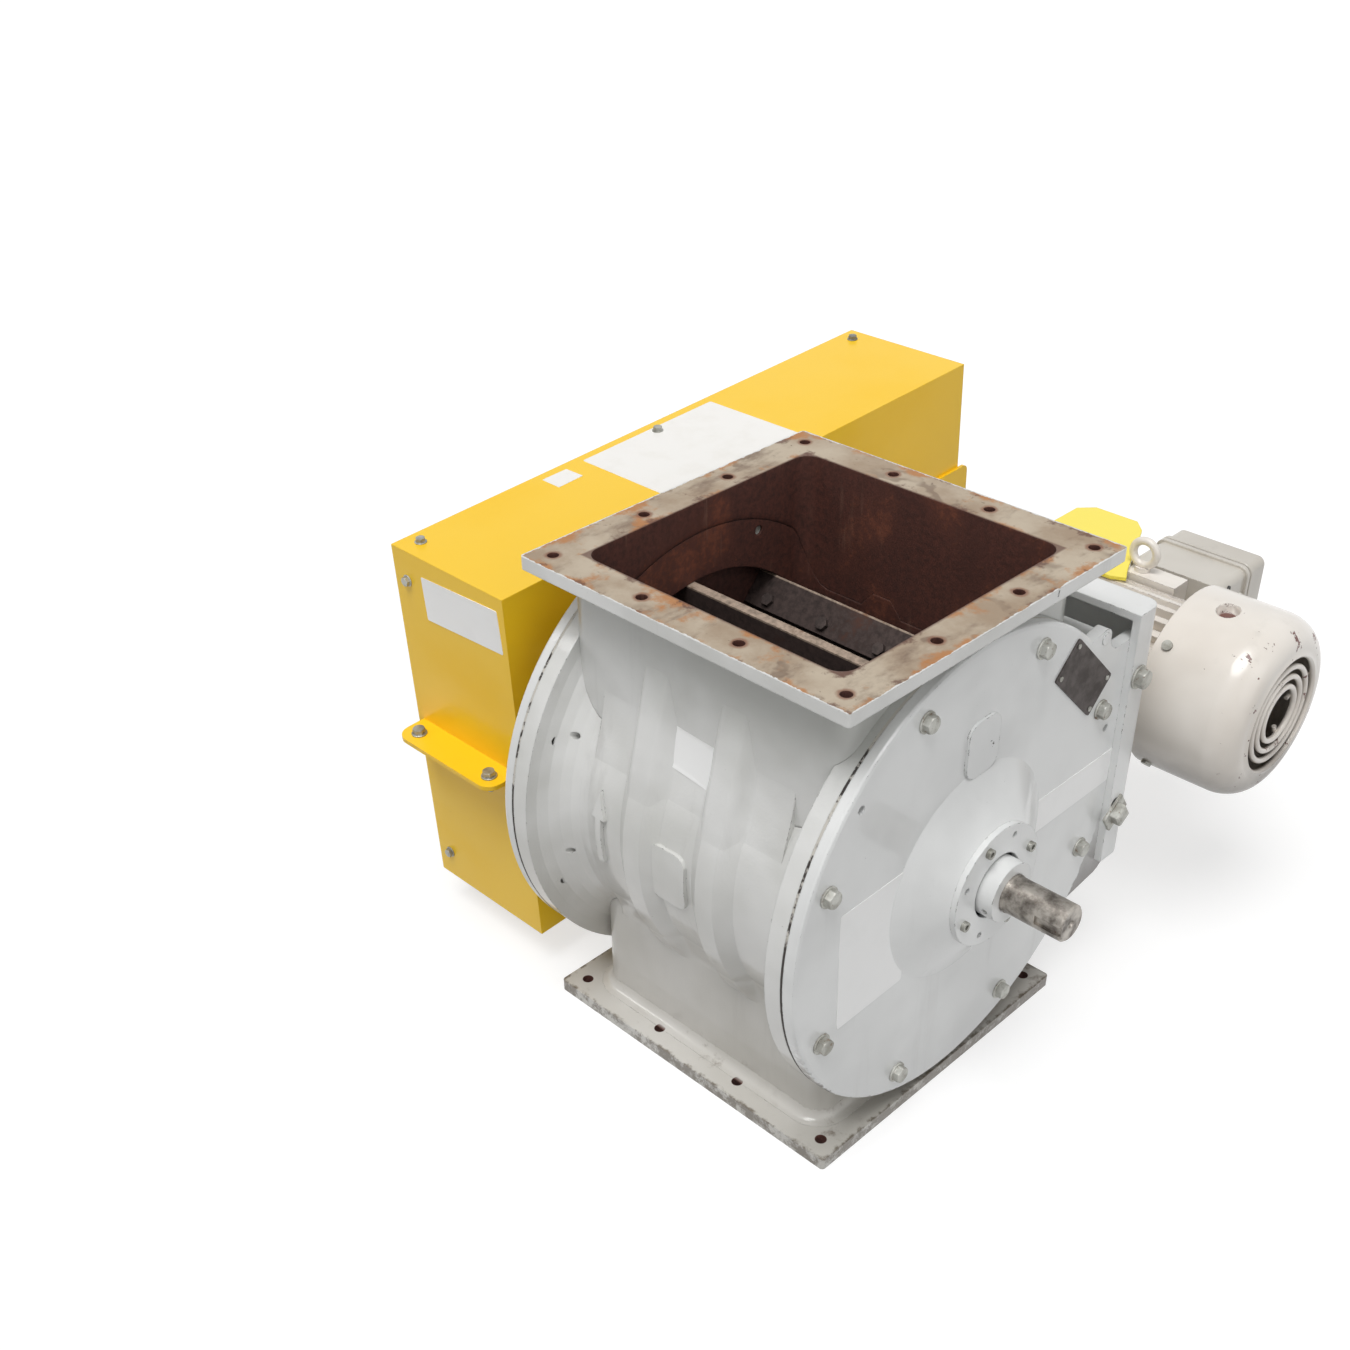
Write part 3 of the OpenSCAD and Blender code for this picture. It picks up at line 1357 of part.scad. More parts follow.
module terminal_box() {
  color("antiquewhite") difference() {
    box_slab(box_y0, box_y1, 0);
    difference() {
      box_slab(box_y0 + box_wall, box_y1 + 1, box_wall);
      box_corner_places() rotate([-90, 0, 0]) cylinder(d = 16, h = box_y1);
    }
    box_corner_places() translate([0, box_y1 - 20, 0]) rotate([-90, 0, 0])
      cylinder(d = box_screw_d + thread_d_gap, h = 24);
    translate([(box_x0 + box_x1) / 2, (box_y0 + box_y1) / 2, box_z0 - 1])
      cylinder(d = 25 + slip, h = box_wall + 2);
  }
}

module terminal_box_gasket() {
  color([0.08, 0.08, 0.08]) difference() {
    box_slab(box_y1, box_y1 + box_gasket_t, 0);
    difference() {
      box_slab(box_y1 - 1, box_y1 + box_gasket_t + 1, box_wall);
      box_corner_places() rotate([-90, 0, 0]) cylinder(d = 16, h = lid_y1);
    }
    box_corner_places() translate([0, box_y1 - 1, 0]) rotate([-90, 0, 0])
      cylinder(d = box_screw_d + bolt_hole_gap, h = 6);
  }
}

module terminal_box_lid() {
  color("antiquewhite") difference() {
    box_slab(box_y1 + box_gasket_t, lid_y1, 0);
    difference() {
      box_slab(box_y1 + box_gasket_t - 1, lid_y1 - box_wall, box_wall);
      box_corner_places() rotate([-90, 0, 0]) cylinder(d = 16, h = lid_y1);
    }
    box_corner_places() translate([0, box_y1, 0]) rotate([-90, 0, 0])
      cylinder(d = box_screw_d + bolt_hole_gap, h = lid_depth + 10);
  }
}

module terminal_box_screws() {
  color("silver") box_corner_places() rotate([-90, 0, 0]) {
    translate([0, 0, box_y1 - 14]) cylinder(d = box_screw_d, h = lid_y1 - box_y1 + 14);
    translate([0, 0, lid_y1]) cylinder(d = 9, h = 3.5);
  }
}

// Gland with a blank in it, pointing down out of the box.
module cable_gland() {
  color([0.18, 0.18, 0.18])
    translate([(box_x0 + box_x1) / 2, (box_y0 + box_y1) / 2, 0]) {
      translate([0, 0, box_z0 - 5]) cylinder(d = 34, h = 5, $fn = 6);
      translate([0, 0, box_z0 - 5]) cylinder(d = 25, h = 5 + box_wall + 8);
      translate([0, 0, box_z0 - 20]) cylinder(d = 30, h = 15, $fn = 12);
      translate([0, 0, box_z0 - 25]) cylinder(d = 20, h = 5);
    }
}

module lifting_eye() {
  ring_out = 18.5;
  wire = 4.5;
  collar_h = 5;
  color("gray") translate([eye_x, eye_y, drive_z + fin_r]) {
    translate([0, 0, -14]) cylinder(d = 8, h = 14);
    cylinder(d = 17, h = collar_h);
    translate([0, 0, collar_h + ring_out - 3]) rotate([90, 0, 0]) rotate_extrude()
      translate([ring_out - wire, 0]) circle(r = wire, $fn = 32);
  }
}

housing();
inlet_neck();
outlet_neck();
outboard_end_plate();
drive_end_plate();
end_plate_gaskets();
end_plate_bolts();
bearing_outer_rings();
bearing_balls();
bearing_inner_rings();
bearing_retainers();
retainer_screws();
shaft_packings();
blank_nameplate();
nameplate_rivets();
rotor_shaft();
rotor_hub();
rotor_vanes();
vane_tips();
tip_bolts();
lock_collars();
collar_set_screws();
driven_sheave();
driven_bushing();
driver_sheave();
driver_bushing();
v_belts();
guard_upper_shell();
guard_lower_shell();
guard_upper_cover();
guard_lower_cover();
guard_bolts();
guard_standoffs();
reducer_guard_plate();
motor_plate();
tie_bar();
motor_plate_bolts();
gear_foot_bolts();
gear_case();
gear_case_cover();
output_shaft();
output_wheel();
layshaft();
layshaft_wheel();
drive_bearings();
output_oil_seal();
motor_frame();
motor_endshields();
stator_core();
rotor_core();
motor_shaft();
cooling_fan();
fan_cowl();
cowl_screws();
terminal_box();
terminal_box_gasket();
terminal_box_lid();
terminal_box_screws();
cable_gland();
lifting_eye();
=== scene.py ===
# %% [markdown]
# # A rotary airlock valve, dressed
#
# The object is a cast valve that lets powder fall from one pipe to another without letting air
# through. Its barrel, end plates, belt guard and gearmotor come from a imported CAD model, which
# is loaded first and never changed. What Blender adds is finish: paint, rust, chips, grime, and
# the thin or rounded things that CAD leaves plain, such as stickers, casting fillets and bolt
# heads. Everything is in metres, X runs along the rotor and Z points up.

# %% Load the frame
import json
import math

import bmesh
import bpy
import numpy as np
from mathutils import Matrix, Vector


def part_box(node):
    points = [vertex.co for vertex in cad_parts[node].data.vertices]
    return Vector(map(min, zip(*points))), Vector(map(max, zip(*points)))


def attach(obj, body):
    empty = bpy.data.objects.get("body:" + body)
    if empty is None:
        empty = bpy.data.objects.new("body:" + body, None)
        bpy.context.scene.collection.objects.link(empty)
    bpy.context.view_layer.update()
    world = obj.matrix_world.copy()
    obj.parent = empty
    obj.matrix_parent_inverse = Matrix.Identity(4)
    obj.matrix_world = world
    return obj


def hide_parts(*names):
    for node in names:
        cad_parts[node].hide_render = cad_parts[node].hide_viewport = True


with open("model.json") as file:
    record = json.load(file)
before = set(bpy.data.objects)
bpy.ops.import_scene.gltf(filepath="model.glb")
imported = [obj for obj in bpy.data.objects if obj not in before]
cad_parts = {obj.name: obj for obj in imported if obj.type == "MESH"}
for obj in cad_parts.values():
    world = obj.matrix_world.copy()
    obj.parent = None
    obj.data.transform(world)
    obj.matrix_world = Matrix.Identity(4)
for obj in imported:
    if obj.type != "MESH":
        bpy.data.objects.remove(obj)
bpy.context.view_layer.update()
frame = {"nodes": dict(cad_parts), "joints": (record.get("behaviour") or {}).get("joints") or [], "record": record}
nodes = frame["nodes"]

# %% [markdown]
# ## Measures
#
# Places are taken from the CAD nodes' own boxes, so a piece sits on its part without fitting.
# The joints in the record give the axes of the rotor and of the drive.

# %% Places that many cells use
MM = 0.001
joints = {j["name"]: Vector(j["pos_m"]) for j in frame["joints"]}
rotor_axis = joints["rotor_spin"]
drive_axis = joints["output_spin"]
neck_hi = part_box("inlet_neck")[1]
plate_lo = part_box("outboard_end_plate")[0]
cowl_lo, cowl_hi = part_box("fan_cowl")
AXIS_Z = rotor_axis.z
TOP_Z = neck_hi.z
BARREL_R = 193 * MM
NECK_Y = 164.5 * MM
FOOT_Y = 152 * MM
FLANGE_T = 13 * MM
INLET_PITCH, OUTLET_PITCH = 114.3 * MM, 109.5 * MM
RIB_X = 47 * MM
PLATE_X = plate_lo.x + 12 * MM
LINE_TILT = math.atan2(drive_axis.z - rotor_axis.z, drive_axis.y - rotor_axis.y)
print("rotor axis", rotor_axis[:], "plate face", PLATE_X, "tilt", math.degrees(LINE_TILT))

# %% [markdown]
# ## Camera
#
# A product picture is taken from a little above, with the bare shaft end coming towards the
# viewer. The camera is placed first, because every later choice of detail depends on what it
# sees. A turn about the line of sight and a small lens shift frame the object as a hand-held
# camera does.

# %% Camera
def add_camera(place, azimuth, elevation, roll, lens, shift):
    """A camera at place, looking down by elevation towards azimuth and turned by roll about that line."""
    data = bpy.data.cameras.new("camera")
    data.lens = lens
    data.sensor_width = 36
    data.clip_end = 100
    data.shift_x, data.shift_y = shift
    camera = bpy.data.objects.new("camera", data)
    bpy.context.scene.collection.objects.link(camera)
    turn = (Matrix.Rotation(azimuth, 4, "Z") @ Matrix.Rotation(math.pi / 2 - elevation, 4, "X")
            @ Matrix.Rotation(roll, 4, "Z"))
    camera.matrix_world = Matrix.Translation(place) @ turn
    return camera


camera = add_camera((0.8595, -1.0393, 1.2061), math.radians(46.385), math.radians(34.842),
                    math.radians(-1.439), 44.315, (0.0179, 0.0784))
bpy.context.scene.camera = camera
print("camera at", camera.location[:])

# %% [markdown]
# ## Light and floor
#
# Soft studio light shows paint best. A white world fills from all sides, and three wide suns
# give the faces their different greys. A sun lights a floor evenly however large the floor is,
# where a lamp would leave a bright pool. The floor glows a little for the camera, for mirrors
# and for glass, so it reads as white paper and keeps the object's shadow.

# %% Lights
def add_sun(name, towards, strength, spread):
    """A sun that shines along the vector towards, with a soft edge of spread degrees."""
    data = bpy.data.lights.new(name, "SUN")
    data.energy = strength
    data.angle = math.radians(spread)
    lamp = bpy.data.objects.new(name, data)
    bpy.context.scene.collection.objects.link(lamp)
    lamp.rotation_euler = Vector(towards).to_track_quat("-Z", "Y").to_euler()
    return lamp


add_sun("sky_light", (-0.10, 0.36, -1.0), 2.1, 34)
add_sun("left_light", (0.80, 0.70, -0.80), 0.20, 10)
add_sun("right_light", (-1.0, 0.16, -0.45), 0.50, 50)

# %% World
def seen_by_viewers(tree):
    """1 for camera, mirror and glass rays and 0 for rays that light things, by Light Path's flags."""
    path = tree.nodes.new("ShaderNodeLightPath")
    seen = path.outputs["Is Camera Ray"]
    for flag in ("Is Glossy Ray", "Is Transmission Ray"):
        most = tree.nodes.new("ShaderNodeMath")
        most.operation = "MAXIMUM"
        tree.links.new(seen, most.inputs[0])
        tree.links.new(path.outputs[flag], most.inputs[1])
        seen = most.outputs[0]
    return seen


def mapped(tree, seen, least, most):
    """A value that is least for light and most for viewers."""
    reach = tree.nodes.new("ShaderNodeMapRange")
    reach.inputs["To Min"].default_value = least
    reach.inputs["To Max"].default_value = most
    tree.links.new(seen, reach.inputs["Value"])
    return reach.outputs[0]


world = bpy.data.worlds.new("studio")
world.use_nodes = True
bpy.context.scene.world = world
strength = mapped(world.node_tree, seen_by_viewers(world.node_tree), 0.24, 1.0)
world.node_tree.nodes["Background"].inputs["Color"].default_value = (1, 1, 1, 1)
world.node_tree.links.new(strength, world.node_tree.nodes["Background"].inputs["Strength"])
bpy.context.scene.view_settings.view_transform = "Standard"

# %% Floor
def add_floor(size, albedo, glow):
    """A square floor whose paint is a plain diffuse, plus a glow that only viewers' rays see."""
    mesh = bpy.data.meshes.new("floor")
    mesh.from_pydata([(-size, -size, 0), (size, -size, 0), (size, size, 0), (-size, size, 0)], [],
                     [(0, 1, 2, 3)])
    floor = bpy.data.objects.new("floor", mesh)
    bpy.context.scene.collection.objects.link(floor)
    material = bpy.data.materials.new("floor_paper")
    material.use_nodes = True
    tree = material.node_tree
    shader = tree.nodes["Principled BSDF"]
    shader.inputs["Base Color"].default_value = (albedo, albedo, albedo, 1)
    shader.inputs["Roughness"].default_value = 0.9
    shader.inputs["Emission Color"].default_value = (1, 1, 1, 1)
    tree.links.new(mapped(tree, seen_by_viewers(tree), 0.0, glow), shader.inputs["Emission Strength"])
    mesh.materials.append(material)
    return floor


add_floor(60, 0.4, 0.66)
print("floor laid at the outlet flange's underside")

# %% [markdown]
# ## How a finish is written
#
# Blender's shader nodes can be wired by hand, but sums of masks are easier to read as Python.
# A small class wraps a node's output and adds a Math node whenever it is used in a sum, so
# "1 - mask" works. One method adds any other node. All patterns read Object coordinates, which
# are metres on the part, so a finish has its real scale and stays put when the rotor turns.

# %% The two classes behind every finish
class Value:
    """A number that varies over a surface: the output of a node, usable in sums."""

    def __init__(self, finish, socket):
        self.finish, self.socket = finish, socket

    def maths(self, operation, first, second):
        return self.finish.node("Math", {"operation": operation}, {0: first, 1: second})

    def __add__(self, other): return self.maths("ADD", self, other)
    def __radd__(self, other): return self.maths("ADD", other, self)
    def __sub__(self, other): return self.maths("SUBTRACT", self, other)
    def __rsub__(self, other): return self.maths("SUBTRACT", other, self)
    def __mul__(self, other): return self.maths("MULTIPLY", self, other)
    def __rmul__(self, other): return self.maths("MULTIPLY", other, self)


class Finish:
    """A material being built round one Principled BSDF."""

    def __init__(self, name, **fixed):
        self.material = bpy.data.materials.new(name)
        self.material.use_nodes = True
        self.tree = self.material.node_tree
        self.shader = self.tree.nodes["Principled BSDF"]
        for socket, value in fixed.items():
            self.shader.inputs[socket.replace("_", " ")].default_value = value
        self.place = self.node("TexCoord", out="Object")

    def node(self, kind, settings=None, sockets=None, out=0):
        """Adds a node, sets its settings and then its sockets, and returns one of its outputs."""
        node = self.tree.nodes.new("ShaderNode" + kind)
        for key, value in (settings or {}).items():
            setattr(node, key, value)
        for key, value in (sockets or {}).items():
            if isinstance(value, Value):
                self.tree.links.new(value.socket, node.inputs[key])
            elif isinstance(value, tuple) and len(value) == 3 and len(node.inputs[key].default_value) == 4:
                node.inputs[key].default_value = (*value, 1)
            else:
                node.inputs[key].default_value = value
        return Value(self, node.outputs[out])

    def feed(self, **links):
        """Links values to sockets of the shader, an underscore standing for a space."""
        for socket, value in links.items():
            self.tree.links.new(value.socket, self.shader.inputs[socket.replace("_", " ")])
        return self.material


def tint(red, green, blue):
    """A paint chip's display colour, 0 to 255, as the linear colour that shaders use."""
    return tuple((c / 255 / 12.92 if c < 10 else ((c / 255 + 0.055) / 1.055) ** 2.4)
                 for c in (red, green, blue))


print("warm white is", tint(235, 228, 220))

# %% Patterns and masks
def noise(f, scale, detail=4.0, rough=0.55, stretch=(1, 1, 1), shift=0.0):
    """Fractal noise from 0 to 1, scale cells a metre, each axis scaled again by stretch."""
    place = f.node("Mapping", {}, {"Vector": f.place, "Scale": stretch, "Location": (shift,) * 3})
    return f.node("TexNoise", {}, {"Vector": place, "Scale": float(scale), "Detail": detail,
                                   "Roughness": rough})


def band(f, value, low, high):
    """0 where value is under low, 1 where it is over high, and smooth between them."""
    return f.node("MapRange", {"interpolation_type": "SMOOTHSTEP"},
                  {"Value": value, "From Min": low, "From Max": high})


def blend(f, mask, colour, other):
    """colour where mask is 0 and other where it is 1."""
    return f.node("Mix", {"data_type": "RGBA"}, {0: mask, 6: colour, 7: other}, out=2)


def larger(f, a, b):
    return f.node("Math", {"operation": "MAXIMUM"}, {0: a, 1: b})


def axes(f):
    """The three Object coordinates as values."""
    node = f.node("SeparateXYZ", {}, {0: f.place}).socket.node
    return [Value(f, s) for s in node.outputs]


def length_of(f, **parts):
    """Length of a vector with these parts, X, Y or Z."""
    return f.node("VectorMath", {"operation": "LENGTH"}, {0: f.node("CombineXYZ", {}, parts)}, out="Value")


def size_of(f, value):
    return f.node("Math", {"operation": "ABSOLUTE"}, {0: value})


def round_off(f, radius):
    """The normal as if every edge had this radius, in metres. Rounded edges catch light."""
    return f.node("Bevel", {"samples": 4}, {"Radius": radius})


def edge_mask(f, rounded):
    """0 on flat faces, rising to 1 on edges: one minus the cosine between both normals, times 3."""
    flat = f.node("NewGeometry", out="True Normal")
    cosine = f.node("VectorMath", {"operation": "DOT_PRODUCT"}, {0: rounded, 1: flat}, out="Value")
    return band(f, 1 - cosine, 0.02, 0.30)


def relief(f, height, distance, normal=None):
    """A bump of height times distance in metres, over the rounded normal if one is given."""
    sockets = {"Height": height, "Distance": distance, "Strength": 1.0}
    if normal is not None:
        sockets["Normal"] = normal
    return f.node("Bump", {}, sockets)


print("patterns ready")

# %% [markdown]
# ## Rust
#
# Bare iron rusts in layers: a dark skin, orange bloom where water stood, and scuffed lighter
# patches. Three noises of different sizes, each cut to a mask, give those layers. Both the
# valve's throat and its worn rotor use the same recipe with other colours.

# %% Rust as a recipe
def rust(f, skin, bloom, scuff, amount):
    """Colour, roughness and height of rusty iron: skin, bloom where a broad noise is high, thin scuffs."""
    cloud = noise(f, 9, 6, 0.6)
    fine = noise(f, 150, 6, 0.7)
    drip = noise(f, 1, 5, 0.65, stretch=(46, 46, 5))
    colour = blend(f, band(f, fine, 0.35, 0.7), skin, tuple(c * 0.45 for c in skin))
    wet = band(f, cloud + (fine - 0.5) * 0.5, 0.62 - 0.2 * amount, 0.78 - 0.15 * amount)
    colour = blend(f, wet, colour, bloom)
    colour = blend(f, band(f, drip, 0.60, 0.74) * 0.55, colour, scuff)
    rough = 0.55 + fine * 0.4
    height = cloud * 0.3 + fine * 0.7
    return colour, rough, height


print("rust recipe ready")

# %% [markdown]
# ## Thick white enamel on castings
#
# The valve was painted over its raw castings, so sand texture shows through, edges are rounded
# by paint, knocks show dark metal with a brown rim, dirt gathers on the foot, and painted shade
# darkens the lower barrel and the wall under the inlet flange. Edges come from the Bevel node,
# which looks round each point for a corner. The same mask feeds the chips, so paint is lost
# first where things knock against it.

# %% The enamel recipe
STREAK_DIRT = (0.12, 0.10, 0.08)


def enamel_layers(f, colour, shade, chip, radius=2 * MM, wear=0.5, cast=1.0, dirt=0.4):
    """Colour, roughness, height and normal of enamel: cloudy tone, sand texture, chips, knocks, streaks."""
    rounded = round_off(f, radius)
    edges = edge_mask(f, rounded)
    cloud = noise(f, 7, 3)
    pores = noise(f, 330, 3, 0.6)
    lumps = noise(f, 55, 3, 0.5)
    bite = noise(f, 130, 5, 0.7, shift=3.1)
    chips = band(f, bite + edges * (0.10 + 0.22 * wear), 0.74, 0.76)
    knocks = band(f, noise(f, 48, 6, 0.72, shift=7.7), 0.735 - 0.03 * wear, 0.745 - 0.03 * wear)
    bare = larger(f, chips, knocks)
    rim = band(f, bite + edges * (0.10 + 0.22 * wear), 0.69, 0.74)
    streak = noise(f, 1, 5, 0.6, stretch=(38, 38, 3.5), shift=1.3)
    smear = band(f, streak, 0.56, 0.85) * dirt
    paint = blend(f, band(f, cloud, 0.35, 0.7), colour, shade)
    paint = blend(f, smear, paint, STREAK_DIRT)
    paint = blend(f, rim * 0.35, paint, tuple(c * 0.5 for c in shade))
    paint = blend(f, bare, paint, chip)
    rough = 0.24 + pores * 0.16 + smear * 0.4 + bare * 0.4
    height = (lumps * 1.2 + pores * 0.5) * cast - bare * 0.6
    return paint, rough, height, rounded


def enamel(name, colour, shade, chip=tint(58, 42, 36), coat=0.4, **choices):
    """A painted casting's whole finish."""
    f = Finish(name, Coat_Weight=coat, Coat_Roughness=0.08)
    paint, rough, height, rounded = enamel_layers(f, colour, shade, chip, **choices)
    return f.feed(Base_Color=paint, Roughness=rough,
                  Normal=relief(f, height, 0.35 * MM, rounded))


WHITE, WHITE_SHADE = tint(228, 228, 226), tint(208, 208, 204)
COOL, COOL_SHADE = tint(234, 235, 234), tint(218, 219, 218)
CREAM, CREAM_SHADE = tint(238, 232, 224), tint(222, 214, 204)
fold_finish = enamel("folded_plate_enamel", COOL, COOL_SHADE, wear=0.4, cast=0.25, dirt=0.22)
motor_finish = enamel("motor_enamel", CREAM, CREAM_SHADE, chip=tint(88, 40, 32), coat=0.5,
                      radius=1.5 * MM, wear=0.75, cast=0.35, dirt=0.18)
# The terminal box takes a darker copy of the motor's cream: painted shade, matched to its side that faces away
# from the light.
box_shaded_finish = enamel("box_enamel_painted_shade", tint(208, 203, 194), tint(194, 188, 178), chip=tint(88, 40, 32), coat=0.4,
                    radius=1.5 * MM, wear=0.6, cast=0.35, dirt=0.18)
print("enamels:", fold_finish.name, motor_finish.name, box_shaded_finish.name)

# %% [markdown]
# ### The casting
#
# The casting carries three finishes: enamel outside, a bare machined face with water stains on
# top of the inlet flange, and rust where powder once ran. They are told apart by place. Inside
# means closer to the centre than half way through a wall, and the flange face is all that lies
# above its own edge. The bolt holes stand on a square lattice, so the distance to the nearest
# hole is a remainder of x and of y, and a ring of rust follows from it.

# %% Masks by place
def hole_distance(f, x, y, pitch):
    """Distance in metres to the nearest point of a lattice with this pitch, offset by half a pitch."""
    parts = [size_of(f, f.node("Math", {"operation": "FRACT"}, {0: v * (1 / pitch) + 10.0}) - 0.5) * pitch
             for v in (x, y)]
    return length_of(f, X=parts[0], Y=parts[1])


def stain_lines(f, scale, width, shift):
    """Thin wandering lines, as dried puddles leave: where a noise is within width of one half."""
    wander = noise(f, scale, 5, 0.55, shift=shift)
    return 1 - band(f, size_of(f, wander - 0.5), width * 0.4, width)


def flange_face(f, wide, near_hole):
    """Colour, roughness and height of the bare inlet face: beige iron, stains, orange at edges and holes."""
    stain = noise(f, 11, 6, 0.62, shift=4.2)
    speck = noise(f, 130, 6, 0.7, shift=2.2)
    rubbed = noise(f, 30, 5, 0.65, stretch=(1, 0.45, 1), shift=8.8)
    face = blend(f, band(f, stain, 0.36, 0.66), tint(192, 178, 158), tint(160, 140, 118))
    face = blend(f, band(f, rubbed, 0.50, 0.72) * 0.75, face, tint(104, 82, 66))
    lines = stain_lines(f, 8, 0.030, 1.9) * band(f, noise(f, 14, 3, shift=3.3), 0.48, 0.60)
    face = blend(f, lines * 0.55, face, tint(96, 74, 58))
    edge = larger(f, band(f, wide, 180 * MM, 192 * MM), 1 - band(f, wide, 153 * MM, 166 * MM))
    bloom = band(f, noise(f, 20, 6, 0.68, shift=12.3) + edge * 0.10, 0.57, 0.70)
    face = blend(f, bloom * 0.85, face, tint(176, 116, 60))
    deep = band(f, noise(f, 34, 6, 0.7, shift=3.7) + edge * 0.10, 0.60, 0.72)
    face = blend(f, deep * 0.8, face, tint(90, 56, 42))
    face = blend(f, (1 - band(f, wide, 152.5 * MM, 155.5 * MM)) * 0.8, face, tint(88, 54, 42))
    ring = (1 - band(f, near_hole + (speck - 0.5) * 6 * MM, 6 * MM, 10 * MM)) * 0.75
    face = blend(f, ring, face, tint(124, 74, 50))
    face = blend(f, band(f, speck, 0.66, 0.71) * 0.7, face, tint(74, 54, 44))
    lip = band(f, wide + (speck - 0.5) * 7 * MM, 191.2 * MM, 192 * MM)
    return blend(f, lip, face, WHITE), 0.45 + speck * 0.3, speck * 0.8 + stain * 0.4


# %% Finish of the casting
def casting_finish():
    """Enamel, with rust inside, dark bolt holes, grime on the foot, a stained inlet face, and painted shade low on
    the barrel and, mixed with a greenish stain, under the inlet flange.
    """
    f = Finish("casting_enamel_and_rust", Coat_Weight=0.22, Coat_Roughness=0.08)
    x, y, z = axes(f)
    up = z - AXIS_Z
    paint, rough, height, rounded = enamel_layers(
        f, WHITE, WHITE_SHADE, tint(46, 36, 32), wear=0.3, cast=1.0, dirt=0.22)
    # Painted shade: the barrel's colour darkens towards the bottom, where the light from above falls off.
    below = 1 - band(f, up, -190 * MM, 30 * MM)
    paint = blend(f, below * 0.35, paint, tint(152, 140, 120))
    # Painted shade under the inlet flange, mixed with a real greenish-grey stain: the neck wall is darkened from
    # 120 to 225 mm above the axis.
    shade_and_stain_under_flange = band(f, up + (noise(f, 12, 4, shift=7.1) - 0.5) * 60 * MM, 120 * MM, 225 * MM)
    paint = blend(f, shade_and_stain_under_flange * (1 - band(f, up, 246 * MM, 247 * MM)) * 0.42, paint, tint(146, 149, 141))
    low = 1 - band(f, z, 14 * MM, 40 * MM)
    corner = band(f, x + y * 0.35, 70 * MM, 220 * MM)
    grime = low * band(f, noise(f, 24, 6, 0.68) + corner * 0.14, 0.58, 0.72)
    paint = blend(f, grime * 0.75, paint, tint(98, 80, 62))
    wide = larger(f, size_of(f, x), size_of(f, y))
    rim_wear = low * band(f, wide + (noise(f, 90, 6, 0.7) - 0.5) * 16 * MM, 180 * MM, 184 * MM)
    rim_wear = rim_wear * band(f, noise(f, 40, 6, 0.72, shift=6.2) + corner * 0.08, 0.42, 0.54)
    paint = blend(f, rim_wear * 0.8, paint, tint(88, 74, 54))
    radius = length_of(f, Y=y, Z=up)
    in_throat = band(f, wide, 155.5 * MM, 154.5 * MM) * band(f, up, 0.0, 1 * MM)
    in_outlet = band(f, wide, 143 * MM, 142 * MM) * band(f, up, 1 * MM, 0.0)
    in_bore = band(f, radius, 186 * MM, 185 * MM) * band(f, size_of(f, x), 175 * MM, 174 * MM)
    inlet_hole, outlet_hole = (1 - band(f, hole_distance(f, x, y, pitch), 5.7 * MM, 5.9 * MM)
                               for pitch in (INLET_PITCH, OUTLET_PITCH))
    in_hole = larger(f, inlet_hole * band(f, up, 240 * MM, 241 * MM),
                     outlet_hole * (1 - band(f, z, 13 * MM, 14 * MM)))
    inside = larger(f, larger(f, larger(f, in_throat, in_outlet), in_bore), in_hole)
    wall, wall_rough, wall_height = rust(f, tint(94, 54, 44), tint(128, 74, 54), tint(136, 100, 84), 0.3)
    streaks = band(f, noise(f, 1, 5, 0.6, stretch=(26, 26, 2.5), shift=5.5), 0.45, 0.75)
    wall = blend(f, streaks * 0.5, wall, tint(66, 38, 32))
    on_face = band(f, z, TOP_Z - 0.4 * MM, TOP_Z - 0.2 * MM)
    face, face_rough, face_height = flange_face(f, wide, hole_distance(f, x, y, INLET_PITCH))
    colour = blend(f, inside, paint, wall)
    colour = blend(f, on_face, colour, face)
    rough = rough * (1 - inside) + wall_rough * inside
    rough = rough * (1 - on_face) + face_rough * on_face
    height = height * (1 - inside) + wall_height * inside * 1.6
    height = height * (1 - on_face) + face_height * on_face
    f.feed(Coat_Weight=(1 - larger(f, inside, on_face)) * 0.5)
    return f.feed(Base_Color=colour, Roughness=rough, Normal=relief(f, height, 0.4 * MM, rounded))


housing_finish = casting_finish()
print("casting:", housing_finish.name)

# %% [markdown]
# ### The end plates
#
# Each plate is enamelled outside and rusty on the face that closes the bore. Its rim is knocked
# and dirty low down, where the valve has been dragged and set down.

# %% Finish of the end plates
def end_plate_finish():
    """Cool enamel, a rusty inner face within the bore, and a worn rim on the lower half."""
    f = Finish("end_plate_enamel", Coat_Weight=0.45, Coat_Roughness=0.08)
    x, y, z = axes(f)
    up = z - AXIS_Z
    paint, rough, height, rounded = enamel_layers(
        f, COOL, COOL_SHADE, tint(46, 38, 34), wear=0.35, cast=0.9, dirt=0.14)
    radius = length_of(f, Y=y, Z=up)
    ragged = (noise(f, 60, 6, 0.7, shift=2.9) - 0.5) * 14 * MM
    rim = band(f, radius + ragged, 238 * MM, 241 * MM) * (1 - band(f, up, -150 * MM, -40 * MM))
    paint = blend(f, rim * 0.85, paint, tint(70, 54, 44))
    wet = (1 - band(f, size_of(f, x), 174.6 * MM, 174.8 * MM)) * (1 - band(f, radius, 178 * MM, 179 * MM))
    wall, wall_rough, wall_height = rust(f, tint(84, 50, 42), tint(120, 72, 52), tint(128, 104, 92), 0.3)
    return f.feed(Base_Color=blend(f, wet, paint, wall), Roughness=rough * (1 - wet) + wall_rough * wet,
                  Normal=relief(f, height * (1 - wet) + wall_height * wet, 0.35 * MM, rounded))


plate_finish = end_plate_finish()
print("end plates:", plate_finish.name)

# %% [markdown]
# ## Yellow sheet metal
#
# Powder coat is smooth and glossy with a faint orange peel. Its character is in the small
# faults: rubbed corners, dull smears and a few scratches that show grey primer.

